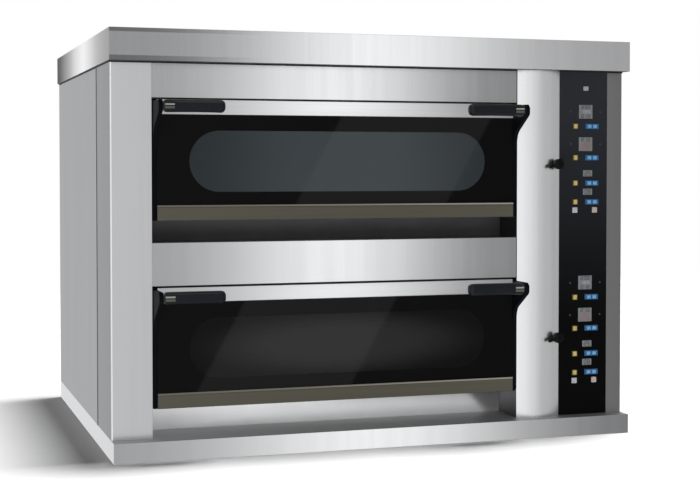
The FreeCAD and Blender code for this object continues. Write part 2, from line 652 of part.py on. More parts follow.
def make_insulation():
    """Mineral wool slabs over, under, beside and behind each chamber."""
    slabs = []
    outside = "chamber_width + 2 * heavy_sheet"
    back_of_chamber = f"({CHAMBER_FRONT} + chamber_depth + heavy_sheet)"
    for deck in DECKS:
        floor = chamber_floor(deck)
        tall = "chamber_height + 2 * heavy_sheet"
        left = CHAMBER_LEFT + " - heavy_sheet"
        slabs.append(box(f"{deck}_wool_top", (outside, "chamber_depth - 4", "wool"),
                         (left, CHAMBER_FRONT + " + 4", floor + " + chamber_height + heavy_sheet")))
        behind_sill = f"{FRONT} + recess_depth + 4"
        length = f"{back_of_chamber} - ({behind_sill})"
        slabs.append(box(f"{deck}_wool_bottom", (outside, length, "wool"),
                         (left, behind_sill, floor + " - heavy_sheet - wool")))
        slabs.append(box(f"{deck}_wool_left", ("wool", length + " - 4", tall),
                         (left + " - wool", behind_sill + " + 4", floor + " - heavy_sheet")))
        slabs.append(box(f"{deck}_wool_back", (outside, "wool", tall),
                         (left, back_of_chamber, floor + " - heavy_sheet")))
        room = "(opening_width - chamber_width) / 2 - heavy_sheet"
        right = box(f"{deck}_wool_right_blank", (room, "chamber_depth", tall),
                    (CHAMBER_RIGHT + " + heavy_sheet", CHAMBER_FRONT, floor + " - heavy_sheet"))
        slabs.append(cut(f"{deck}_wool_right", right,
                         wall_holes(deck, "wool", CHAMBER_RIGHT, "40", "duct_size + 1")))
    node("insulation_blocks", group("insulation_blocks", slabs))


# ---- exhaust --------------------------------------------------------------------------

def make_flues():
    """Exhaust duct off each chamber, a pipe to the rear, and a collar outside the back panel."""
    parts = []
    for deck in DECKS:
        z = damper_height(deck)
        start = CHAMBER_RIGHT + " + heavy_sheet"
        block = box(f"{deck}_duct_block", ("duct_length", "duct_size", "duct_size"),
                    (start, DUCT_FRONT, z + " - duct_size / 2"))
        inside = box(f"{deck}_duct_inside", ("duct_length - sheet + 10", "duct_size - 2 * sheet",
                                             "duct_size - 2 * sheet"),
                     (start + " - 10", DUCT_FRONT + " + sheet", z + " - duct_size / 2 + sheet"))
        outlet = cylinder(f"{deck}_duct_outlet", "flue_radius - sheet", "duct_size",
                          (FLUE_X, DUCT_FRONT + " + duct_size / 2", z), "Y")
        rod_hole = cylinder(f"{deck}_duct_rod_hole", "rod_radius + 1", "duct_size / 2",
                            (DAMPER_X, DUCT_FRONT + " - duct_size / 4", z), "Y")
        parts.append(cut(f"{deck}_duct", block, [inside, outlet, rod_hole]))
        pipe_start = DUCT_FRONT + " + duct_size"
        pipe_length = f"{BACK} - sheet - ({pipe_start})"
        pipe = cylinder(f"{deck}_pipe_outer", "flue_radius", pipe_length, (FLUE_X, pipe_start, z), "Y")
        bore = cylinder(f"{deck}_pipe_bore", "flue_radius - sheet", pipe_length + " + 10",
                        (FLUE_X, pipe_start + " - 5", z), "Y")
        parts.append(cut(f"{deck}_pipe", pipe, [bore]))
        for piece, radius, length, y in (("flange", "collar_radius", "heavy_sheet", BACK),
                                         ("spigot", "flue_radius", "rear_reach - heavy_sheet",
                                          BACK + " + heavy_sheet")):
            solid = cylinder(f"{deck}_{piece}_solid", radius, length, (FLUE_X, y, z), "Y")
            throat = cylinder(f"{deck}_{piece}_throat", "flue_radius - sheet", "rear_reach + 10",
                              (FLUE_X, BACK + " - 5", z), "Y")
            parts.append(cut(f"{deck}_{piece}", solid, [throat]))
    node("flue_ducts", group("flue_ducts", parts))


def make_damper(deck):
    """Lever on the front column, and the long rod that carries the flap's two halves inside the duct."""
    z = damper_height(deck)
    rod = cylinder(f"{deck}_rod", "rod_radius", f"{DUCT_FRONT} + duct_size - 3 - ({FRONT} - hub_front)",
                   (DAMPER_X, FRONT + " - hub_front", z), "Y")
    half = "(flap_size / 2 - rod_radius)"
    flaps = [box(f"{deck}_flap_{side}", ("heavy_sheet", "flap_size", half),
                 (DAMPER_X + " - heavy_sheet / 2", DUCT_FRONT + " + (duct_size - flap_size) / 2", start))
             for side, start in (("low", z + " - flap_size / 2"), ("high", z + " + rod_radius"))]
    hub = cylinder(f"{deck}_hub", "hub_radius", "hub_length", (DAMPER_X, FRONT + " - hub_front", z), "Y")
    arm = doc.addObject("Part::Cone", f"{deck}_lever_arm")
    arm.setExpression("Radius1", bound("knob_radius * 0.65"))
    arm.setExpression("Radius2", bound("knob_radius * 1.7"))
    arm.setExpression("Height", bound("lever_length"))
    knob_place = (DAMPER_X + " - lever_run", FRONT + " - hub_front + hub_length / 2", z + " - lever_fall")
    set_place(arm, knob_place, "X")
    arm.setExpression(".Placement.Rotation.Angle", bound("90 - lever_tilt"))
    knob = doc.addObject("Part::Sphere", f"{deck}_lever_knob")
    knob.setExpression("Radius", bound("knob_radius"))
    set_place(knob, knob_place)
    bore = cylinder(f"{deck}_hub_bore", "rod_radius", "hub_length + 4",
                    (DAMPER_X, FRONT + " - hub_front - 2", z), "Y")
    handle = cut(f"{deck}_damper_handle", fuse(f"{deck}_damper_grip", [hub, arm, knob]), [bore])
    node(f"{deck}_damper", group(f"{deck}_damper", [handle, rod] + flaps))


# ---- controls -------------------------------------------------------------------------

# How far each row of controls lies above the middle of its deck's group.
KEY_ROWS = {"top_heat": "89.5", "bottom_heat": "10.5", "timer": "-53.5", "preset": "-101"}
LAST_ROW = "-121.5"
DISPLAY_ROWS = {
    "top_heat": ("126", "display_wide", "display_tall", "547.5"),
    "bottom_heat": ("44.5", "display_wide", "display_tall", "547.5"),
    "timer": ("-29", "timer_wide", "timer_tall", "553.5"),
    "preset": ("-75.5", "timer_wide", "timer_tall", "553.5"),
}
KEY_X = "519"
ROCKER_X = "565.5"
LAST_KEY_X = {"lamp": "518", "power": "573"}


def key_places(deck):
    """Name, middle and width of every key of one deck's group."""
    centre = panel_centre(deck)
    for row, rise in KEY_ROWS.items():
        yield f"{deck}_{row}_key", KEY_X, f"({centre} + {rise})", "key_size"
        yield f"{deck}_{row}_rocker", ROCKER_X, f"({centre} + {rise})", "rocker_width"
    for use, x in LAST_KEY_X.items():
        yield f"{deck}_{use}_key", x, f"({centre} + {LAST_ROW})", "key_size"


def display_places(deck):
    for row, (rise, wide, tall, x) in DISPLAY_ROWS.items():
        yield f"{deck}_{row}_display", x, f"({panel_centre(deck)} + {rise})", wide, tall


def make_fascia():
    """Dark front plate of the controls, with an opening for every key and display."""
    plate = box("fascia_plate", ("fascia_width", "fascia_thick", "body_height"),
                (FASCIA_LEFT, FRONT, "plinth_height"))
    tools = []

    def opening(name, x, z, wide, tall):
        tools.append(box(name + "_opening", (wide, "fascia_thick + 2", tall),
                         (f"{x} - ({wide}) / 2", FRONT + " - 1", f"{z} - ({tall}) / 2")))

    for deck in DECKS:
        for name, x, z, wide in key_places(deck):
            room = "2 * rocker_clearance" if "rocker" in name else "2 * key_clearance"
            opening(name, x, z, f"{wide} + {room}", f"key_size + {room}")
        for name, x, z, wide, tall in display_places(deck):
            opening(name, x, z, wide, tall)
    opening("indicator", "547.5", BODY_TOP + " - indicator_rise", "indicator_wide", "indicator_tall")
    node("control_fascia", cut("control_fascia", plate, tools))


def make_key(name, x, z):
    """Square key cap that travels straight in, with a flange that stops it behind the fascia."""
    cap = box(name + "_cap", ("key_size", "key_depth + key_proud", "key_size"),
              (f"{x} - key_size / 2", FRONT + " - key_proud", f"{z} - key_size / 2"))
    flange = box(name + "_flange", ("key_size + 3", "heavy_sheet", "key_size + 3"),
                 (f"{x} - key_size / 2 - 1.5", FRONT + " + fascia_thick + 0.3",
                  f"{z} - key_size / 2 - 1.5"))
    node(name, fuse(name, [cap, flange]))


def make_rocker(name, x, z):
    """Two-way key that rocks about an upright pivot pin behind the fascia."""
    cap = box(name + "_cap", ("rocker_width", "key_depth + key_proud - 1", "key_size"),
              (f"{x} - rocker_width / 2", FRONT + " - key_proud", f"{z} - key_size / 2"))
    pivot = cylinder(name + "_pivot", "pivot_radius", "key_size + 5",
                     (x, FRONT + " + rocker_pivot", f"{z} - key_size / 2 - 2.5"))
    node(name, fuse(name, [cap, pivot]))


def make_display_modules():
    """Display blocks in the fascia's windows, the circuit board behind each group, and the indicator lamp."""
    parts = []
    for deck in DECKS:
        for name, x, z, wide, tall in display_places(deck):
            parts.append(box(name, (wide + " - 0.4", "board_set", tall + " - 0.4"),
                             (f"{x} - ({wide} - 0.4) / 2", FRONT + " - 0.2", f"{z} - ({tall} - 0.4) / 2")))
        parts.append(box(f"{deck}_board", ("fascia_width - 20", "sheet", "board_tall"),
                         (FASCIA_LEFT + " + 10", FRONT + " + board_set - 0.2",
                          f"{panel_centre(deck)} - board_tall / 2")))
    parts.append(box("indicator", ("indicator_wide - 0.4", "fascia_thick + 3", "indicator_tall - 0.4"),
                     ("547.5 - (indicator_wide - 0.4) / 2", FRONT + " - 1",
                      BODY_TOP + " - indicator_rise - (indicator_tall - 0.4) / 2")))
    node("display_modules", group("display_modules", parts))


# ---- electrics ------------------------------------------------------------------------

def make_switchgear():
    """Mounting plate in the control compartment with four contactors and a terminal block."""
    wall = "body_width / 2 - sheet"
    parts = [box("mounting_plate", ("heavy_sheet", "450", "400"), (wall + " - heavy_sheet", "-150", "250"))]
    for i in range(4):
        parts.append(box(f"contactor_{i}", ("75", "45", "85"),
                         (wall + " - heavy_sheet - 75", f"-120 + {i} * 62", "450")))
    parts.append(box("terminal_block", ("42", "220", "38"), (wall + " - heavy_sheet - 42", "-110", "330")))
    node("switchgear", group("switchgear", parts))


def make_gland():
    """Cable gland for the mains supply, through the back panel."""
    nut = doc.addObject("Part::Prism", "gland_nut_hexagon")
    nut.Polygon = 6
    nut.setExpression("Circumradius", bound("gland_nut"))
    nut.setExpression("Height", bound("gland_nut"))
    set_place(nut, (GLAND_X, BACK, GLAND_Z), "Y")
    neck = cylinder("gland_neck", "gland_thread", "12", (GLAND_X, BACK + " - 12", GLAND_Z), "Y")
    bore = cylinder("gland_cable_bore", "gland_bore", "60", (GLAND_X, BACK + " - 30", GLAND_Z), "Y")
    node("cable_gland", cut("cable_gland", fuse("gland_body", [nut, neck]), [bore]))


# ---- the whole oven -------------------------------------------------------------------

def build():
    make_plinth()
    make_posts()
    make_side_panels()
    make_back_panel()
    make_screws()
    make_cap()
    make_front_panels()
    make_jambs()
    make_column()
    make_hinge_brackets()
    for deck in DECKS:
        make_door(deck)
        make_chamber(deck)
        make_damper(deck)
    make_hearths()
    make_heating_elements()
    make_gaskets()
    make_lamps()
    make_insulation()
    make_flues()
    make_fascia()
    for deck in DECKS:
        for name, x, z, _ in key_places(deck):
            if name.endswith("rocker"):
                make_rocker(name, x, z)
            else:
                make_key(name, x, z)
    make_display_modules()
    make_switchgear()
    make_gland()
    doc.recompute()


def check_and_export():
    for obj in doc.Objects:
        if "Invalid" in obj.State or "Error" in obj.State:
            raise RuntimeError(f"{obj.Label} did not compute")
    os.makedirs("parts", exist_ok=True)
    for name, obj in nodes.items():
        if obj.Shape.isNull() or not obj.Shape.isValid() or not obj.Shape.Solids:
            raise RuntimeError(f"{name} has no valid solid")
    for name, obj in nodes.items():
        obj.Shape.exportStep(f"parts/{name}.step")
    print(len(nodes), "sub-parts written")


build()
check_and_export()
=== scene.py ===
import json
import math

import bmesh
import bpy
from mathutils import Matrix, Vector

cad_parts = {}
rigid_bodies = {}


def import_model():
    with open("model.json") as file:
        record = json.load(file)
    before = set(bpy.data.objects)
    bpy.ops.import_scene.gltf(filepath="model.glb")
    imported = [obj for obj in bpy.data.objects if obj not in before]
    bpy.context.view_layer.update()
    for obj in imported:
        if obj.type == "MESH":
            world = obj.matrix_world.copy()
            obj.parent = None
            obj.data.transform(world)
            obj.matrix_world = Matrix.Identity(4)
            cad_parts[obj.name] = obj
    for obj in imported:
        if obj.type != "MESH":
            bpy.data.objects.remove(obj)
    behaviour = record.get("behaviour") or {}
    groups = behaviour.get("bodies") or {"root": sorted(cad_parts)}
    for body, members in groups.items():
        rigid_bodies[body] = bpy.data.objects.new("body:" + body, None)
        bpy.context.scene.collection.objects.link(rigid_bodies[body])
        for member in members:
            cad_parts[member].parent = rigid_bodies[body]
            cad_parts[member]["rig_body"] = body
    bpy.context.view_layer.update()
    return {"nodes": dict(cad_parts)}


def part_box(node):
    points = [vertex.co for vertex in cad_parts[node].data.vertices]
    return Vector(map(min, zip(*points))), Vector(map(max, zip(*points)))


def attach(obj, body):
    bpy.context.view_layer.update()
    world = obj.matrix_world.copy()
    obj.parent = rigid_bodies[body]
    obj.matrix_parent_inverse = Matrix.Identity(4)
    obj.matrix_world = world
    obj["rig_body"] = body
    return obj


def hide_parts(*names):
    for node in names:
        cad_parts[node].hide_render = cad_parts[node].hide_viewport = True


for leftOver in list(bpy.data.objects):
    bpy.data.objects.remove(leftOver)

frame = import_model()
decks = ("upper", "lower")
print("frame loaded:", len(frame["nodes"]), "sub-parts")


# materials

def newMaterial(name):
    material = bpy.data.materials.new(name)
    material.use_nodes = True
    tree = material.node_tree
    return material, tree, tree.nodes["Principled BSDF"]


def objectPlace(tree, stretch=(1, 1, 1), turn=(0, 0, 0)):
    place = tree.nodes.new("ShaderNodeTexCoord")
    mapping = tree.nodes.new("ShaderNodeMapping")
    mapping.inputs["Scale"].default_value = stretch
    mapping.inputs["Rotation"].default_value = turn
    tree.links.new(place.outputs["Object"], mapping.inputs["Vector"])
    return mapping.outputs["Vector"]


def noiseBetween(tree, stretch, low, high, detail=3.0, rough=0.55):
    # a noise pattern stretched along the axes, spread between two numbers
    noise = tree.nodes.new("ShaderNodeTexNoise")
    noise.inputs["Scale"].default_value = 1.0
    noise.inputs["Detail"].default_value = detail
    noise.inputs["Roughness"].default_value = rough
    tree.links.new(objectPlace(tree, stretch), noise.inputs["Vector"])
    spread = tree.nodes.new("ShaderNodeMapRange")
    spread.interpolation_type = "SMOOTHSTEP"
    spread.inputs["From Min"].default_value = 0.22
    spread.inputs["From Max"].default_value = 0.78
    spread.inputs["To Min"].default_value = low
    spread.inputs["To Max"].default_value = high
    tree.links.new(noise.outputs["Fac"], spread.inputs["Value"])
    return spread.outputs["Result"]


def feed(tree, socket, value):
    # another node's output is linked to the socket, and a plain value is set on it
    if isinstance(value, bpy.types.NodeSocket):
        tree.links.new(value, socket)
    else:
        socket.default_value = value


def mathNode(tree, operation, *values):
    node = tree.nodes.new("ShaderNodeMath")
    node.operation = operation
    for socket, value in zip(node.inputs, values):
        feed(tree, socket, value)
    return node.outputs["Value"]


def easeBetween(tree, value, start, end, low, high):
    # low up to start, high from end on, and an eased slope between them
    node = tree.nodes.new("ShaderNodeMapRange")
    node.interpolation_type = "SMOOTHSTEP"
    settings = {"Value": value, "From Min": start, "From Max": end, "To Min": low, "To Max": high}
    for label, setting in settings.items():
        feed(tree, node.inputs[label], setting)
    return node.outputs["Result"]


def blendColours(tree, factor, first, second, mode="MIX"):
    mix = tree.nodes.new("ShaderNodeMix")
    mix.data_type = "RGBA"
    mix.blend_type = mode
    if isinstance(factor, float):
        mix.inputs["Factor"].default_value = factor
    else:
        tree.links.new(factor, mix.inputs["Factor"])
    for socket, colour in ((mix.inputs["A"], first), (mix.inputs["B"], second)):
        if isinstance(colour, (tuple, list)):
            socket.default_value = (*colour[:3], 1)
        else:
            tree.links.new(colour, socket)
    return mix.outputs["Result"]


def addBump(tree, shader, height, strength, distance):
    bump = tree.nodes.new("ShaderNodeBump")
    bump.inputs["Strength"].default_value = strength
    bump.inputs["Distance"].default_value = distance
    tree.links.new(height, bump.inputs["Height"])
    tree.links.new(bump.outputs["Normal"], shader.inputs["Normal"])


grainStretch = {"across": (2.5, 2.5, 500), "upright": (500, 500, 2.5), "deep": (500, 2.5, 500)}
cloudStretch = {"across": (1.2, 1.2, 40), "upright": (40, 40, 1.2), "deep": (40, 1.2, 40)}


def brushedSteel(name, colour, roughness, grain, anisotropy=0.6, wear=0.03):
    # fine grain lines with broader bands under them
    material, tree, shader = newMaterial(name)
    lines = "upright" if grain == "panel" else grain
    fine = noiseBetween(tree, grainStretch[lines], 0.0, 1.0, detail=2.0)
    bands = noiseBetween(tree, cloudStretch[lines], 0.0, 1.0, detail=2.0)
    darker = tuple(c * (1 - wear) for c in colour)
    lighter = tuple(min(1.0, c * (1 + wear)) for c in colour)
    tone = blendColours(tree, fine, darker, lighter)
    tone = blendColours(tree, bands, tone, blendColours(tree, 0.5, tone, lighter))
    tree.links.new(tone, shader.inputs["Base Color"])
    gloss = noiseBetween(tree, cloudStretch[lines], roughness - 0.015, roughness + 0.02, detail=1.0)
    tree.links.new(gloss, shader.inputs["Roughness"])
    shader.inputs["Metallic"].default_value = 1.0
    if grain != "deep":
        shader.inputs["Anisotropic"].default_value = anisotropy
        shader.inputs["Anisotropic Rotation"].default_value = 0.0 if grain == "upright" else 0.25
        tangent = tree.nodes.new("ShaderNodeTangent")
        tangent.direction_type = "RADIAL"
        tangent.axis = "Z"
        tree.links.new(tangent.outputs["Tangent"], shader.inputs["Tangent"])
    return material


def edgeShadedSteel(name, sheet):
    # steel with painted shade: darker along its upper and lower edges, and towards its left end
    material = brushedSteel(name, steelTone, 0.25, "panel")
    tree = material.node_tree
    shader = tree.nodes["Principled BSDF"]
    grain = shader.inputs["Base Color"].links[0].from_socket
    place, parts = tree.nodes.new("ShaderNodeTexCoord"), tree.nodes.new("ShaderNodeSeparateXYZ")
    tree.links.new(place.outputs["Object"], parts.inputs["Vector"])
    shares = []
    for axis, start, end in (("Z", *sheet["upper"]), ("Z", *sheet["lower"]), ("X", *sheet["left"])):
        rising = start < end
        shares.append(easeBetween(tree, parts.outputs[axis], min(start, end), max(start, end),
                                  0.0 if rising else 1.0, 1.0 if rising else 0.0))
    both = mathNode(tree, "MULTIPLY", mathNode(tree, "MAXIMUM", shares[0], shares[1]), shares[2])
    tone = blendColours(tree, shares[2], (1, 1, 1), (sheet["leftShadeTone"],) * 3)
    tone = blendColours(tree, both, tone, (sheet["edgeShadeTone"],) * 3)
    tree.links.new(blendColours(tree, 1.0, grain, tone, "MULTIPLY"), shader.inputs["Base Color"])
    return material


def paintedHighlightSteel(name, tones):
    # steel with a painted highlight, brighter in its middle: each pair is a distance from the object's middle
    # towards its front, and the tone there; the same tones also tint its reflection
    material = brushedSteel(name, (1, 1, 1), 0.3, "deep")
    tree = material.node_tree
    shader = tree.nodes["Principled BSDF"]
    grain = shader.inputs["Base Color"].links[0].from_socket
    place, parts = tree.nodes.new("ShaderNodeTexCoord"), tree.nodes.new("ShaderNodeSeparateXYZ")
    across, ramp = tree.nodes.new("ShaderNodeMapRange"), tree.nodes.new("ShaderNodeValToRGB")
    front, back = tones[0][0], tones[-1][0]
    across.inputs["From Min"].default_value = -front
    across.inputs["From Max"].default_value = -back
    ramp.color_ramp.interpolation = "CARDINAL"
    stops = ramp.color_ramp.elements
    for i, (at, tone) in enumerate(tones):
        share = (front - at) / (front - back)
        stop = stops[i] if i < 2 else stops.new(share)
        stop.position = share
        stop.color = (tone, tone, tone, 1)
    tree.links.new(place.outputs["Object"], parts.inputs["Vector"])
    tree.links.new(parts.outputs["Y"], across.inputs["Value"])
    tree.links.new(across.outputs["Result"], ramp.inputs["Fac"])
    highlighted = blendColours(tree, 1.0, grain, ramp.outputs["Color"], "MULTIPLY")
    tree.links.new(highlighted, shader.inputs["Base Color"])
    tree.links.new(ramp.outputs["Color"], shader.inputs["Specular Tint"])
    return material


def coated(name, colour, roughness, gloss=0.5, grainSize=1400, depth=0.00006, shift=0.12, metallic=0.0):
    # moulded or sprayed surface with a fine skin and slightly uneven tone
    material, tree, shader = newMaterial(name)
    clouds = noiseBetween(tree, (9, 9, 9), 0.0, 1.0, detail=3.0)
    tone = blendColours(tree, clouds, tuple(c * (1 - shift) for c in colour),
                        tuple(min(1.0, c * (1 + shift)) for c in colour))
    tree.links.new(tone, shader.inputs["Base Color"])
    uneven = noiseBetween(tree, (30, 30, 30), roughness - 0.03, roughness + 0.04)
    tree.links.new(uneven, shader.inputs["Roughness"])
    shader.inputs["Specular IOR Level"].default_value = gloss
    shader.inputs["Metallic"].default_value = metallic
    skin = noiseBetween(tree, (grainSize,) * 3, 0.0, 1.0, detail=1.0)
    addBump(tree, shader, skin, 0.25, depth)
    return material


def galvanised(name):
    # zinc spangle: irregular crystals of slightly different tone and gloss
    material, tree, shader = newMaterial(name)
    cells = tree.nodes.new("ShaderNodeTexVoronoi")
    cells.inputs["Scale"].default_value = 75
    tree.links.new(objectPlace(tree), cells.inputs["Vector"])
    value = tree.nodes.new("ShaderNodeSeparateColor")
    tree.links.new(cells.outputs["Color"], value.inputs["Color"])
    tone = blendColours(tree, value.outputs["Red"], (0.46, 0.48, 0.49), (0.6, 0.62, 0.63))
    tree.links.new(tone, shader.inputs["Base Color"])
    gloss = tree.nodes.new("ShaderNodeMapRange")
    gloss.inputs["To Min"].default_value = 0.34
    gloss.inputs["To Max"].default_value = 0.5
    tree.links.new(value.outputs["Green"], gloss.inputs["Value"])
    tree.links.new(gloss.outputs["Result"], shader.inputs["Roughness"])
    shader.inputs["Metallic"].default_value = 1.0
    return material


def tintedGlass(name, colour, alpha, roughness, gloss, edge=None):
    material, tree, shader = newMaterial(name)
    smears = noiseBetween(tree, (3, 3, 9), roughness, roughness + 0.012, detail=5.0)
    tree.links.new(smears, shader.inputs["Roughness"])
    shader.inputs["Specular IOR Level"].default_value = gloss
    shader.inputs["Alpha"].default_value = alpha
    if edge is None:
        clouds = noiseBetween(tree, (6, 6, 6), 0.0, 1.0)
        cloudy = blendColours(tree, clouds, colour, tuple(c * 1.15 for c in colour))
        tree.links.new(cloudy, shader.inputs["Base Color"])
    else:
        # painted shade: the window's colour darkens towards its rim, by a squashed distance from its middle
        place, squash = tree.nodes.new("ShaderNodeTexCoord"), tree.nodes.new("ShaderNodeVectorMath")
        squash.operation = "MULTIPLY_ADD"
        squash.inputs[1].default_value = [1 / reach if reach else 0 for reach in edge["reach"]]
        squash.inputs[2].default_value = [-middle / reach if reach else 0
                                          for middle, reach in zip(edge["middle"], edge["reach"])]
        tree.links.new(place.outputs["Object"], squash.inputs[0])
        size = tree.nodes.new("ShaderNodeVectorMath")
        size.operation = "LENGTH"
        tree.links.new(squash.outputs["Vector"], size.inputs[0])
        fade = tree.nodes.new("ShaderNodeMapRange")
        fade.interpolation_type = "SMOOTHSTEP"
        fade.inputs["From Min"].default_value = edge["start"]
        fade.inputs["From Max"].default_value = 1.0
        tree.links.new(size.outputs["Value"], fade.inputs["Value"])
        rimShaded = blendColours(tree, fade.outputs["Result"], colour, edge["colour"])
        tree.links.new(rimShaded, shader.inputs["Base Color"])
    return material


def glowing(name, colour, strength, roughness=0.35):
    # lit plastic: the colour with a little light of its own
    material = coated(name, colour, roughness, gloss=0.5, grainSize=900, shift=0.05)
    shader = material.node_tree.nodes["Principled BSDF"]
    shader.inputs["Emission Color"].default_value = (*colour, 1)
    shader.inputs["Emission Strength"].default_value = strength
    return material


def fasciaWithPaintedSheen(name, low, high):
    # glossy dark plate, lighter towards its upper end: a painted sheen
    material, tree, shader = newMaterial(name)
    place, parts = tree.nodes.new("ShaderNodeTexCoord"), tree.nodes.new("ShaderNodeSeparateXYZ")
    rise = tree.nodes.new("ShaderNodeMapRange")
    rise.interpolation_type = "SMOOTHSTEP"
    rise.inputs["From Min"].default_value = 0.25
    rise.inputs["From Max"].default_value = 0.95
    tree.links.new(place.outputs["Object"], parts.inputs["Vector"])
    tree.links.new(parts.outputs["Z"], rise.inputs["Value"])
    tree.links.new(blendColours(tree, rise.outputs["Result"], low, high), shader.inputs["Base Color"])
    tree.links.new(noiseBetween(tree, (25, 25, 25), 0.18, 0.26), shader.inputs["Roughness"])
    shader.inputs["Specular IOR Level"].default_value = 0.12
    addBump(tree, shader, noiseBetween(tree, (700,) * 3, 0.0, 1.0), 0.15, 0.00002)
    return material


def speckled(name, colour, other, size, roughness, bumpDepth):
    # fired or fibrous surfaces: two tones in grains, with a matching relief
    material, tree, shader = newMaterial(name)
    grains = noiseBetween(tree, (size,) * 3, 0.0, 1.0, detail=6.0, rough=0.7)
    patches = noiseBetween(tree, (6, 6, 6), 0.0, 0.35)
    tone = blendColours(tree, grains, colour, other)
    tone = blendColours(tree, patches, tone, tuple(c * 0.6 for c in colour))
    tree.links.new(tone, shader.inputs["Base Color"])
    shader.inputs["Roughness"].default_value = roughness
    addBump(tree, shader, grains, 0.6, bumpDepth)
    return material


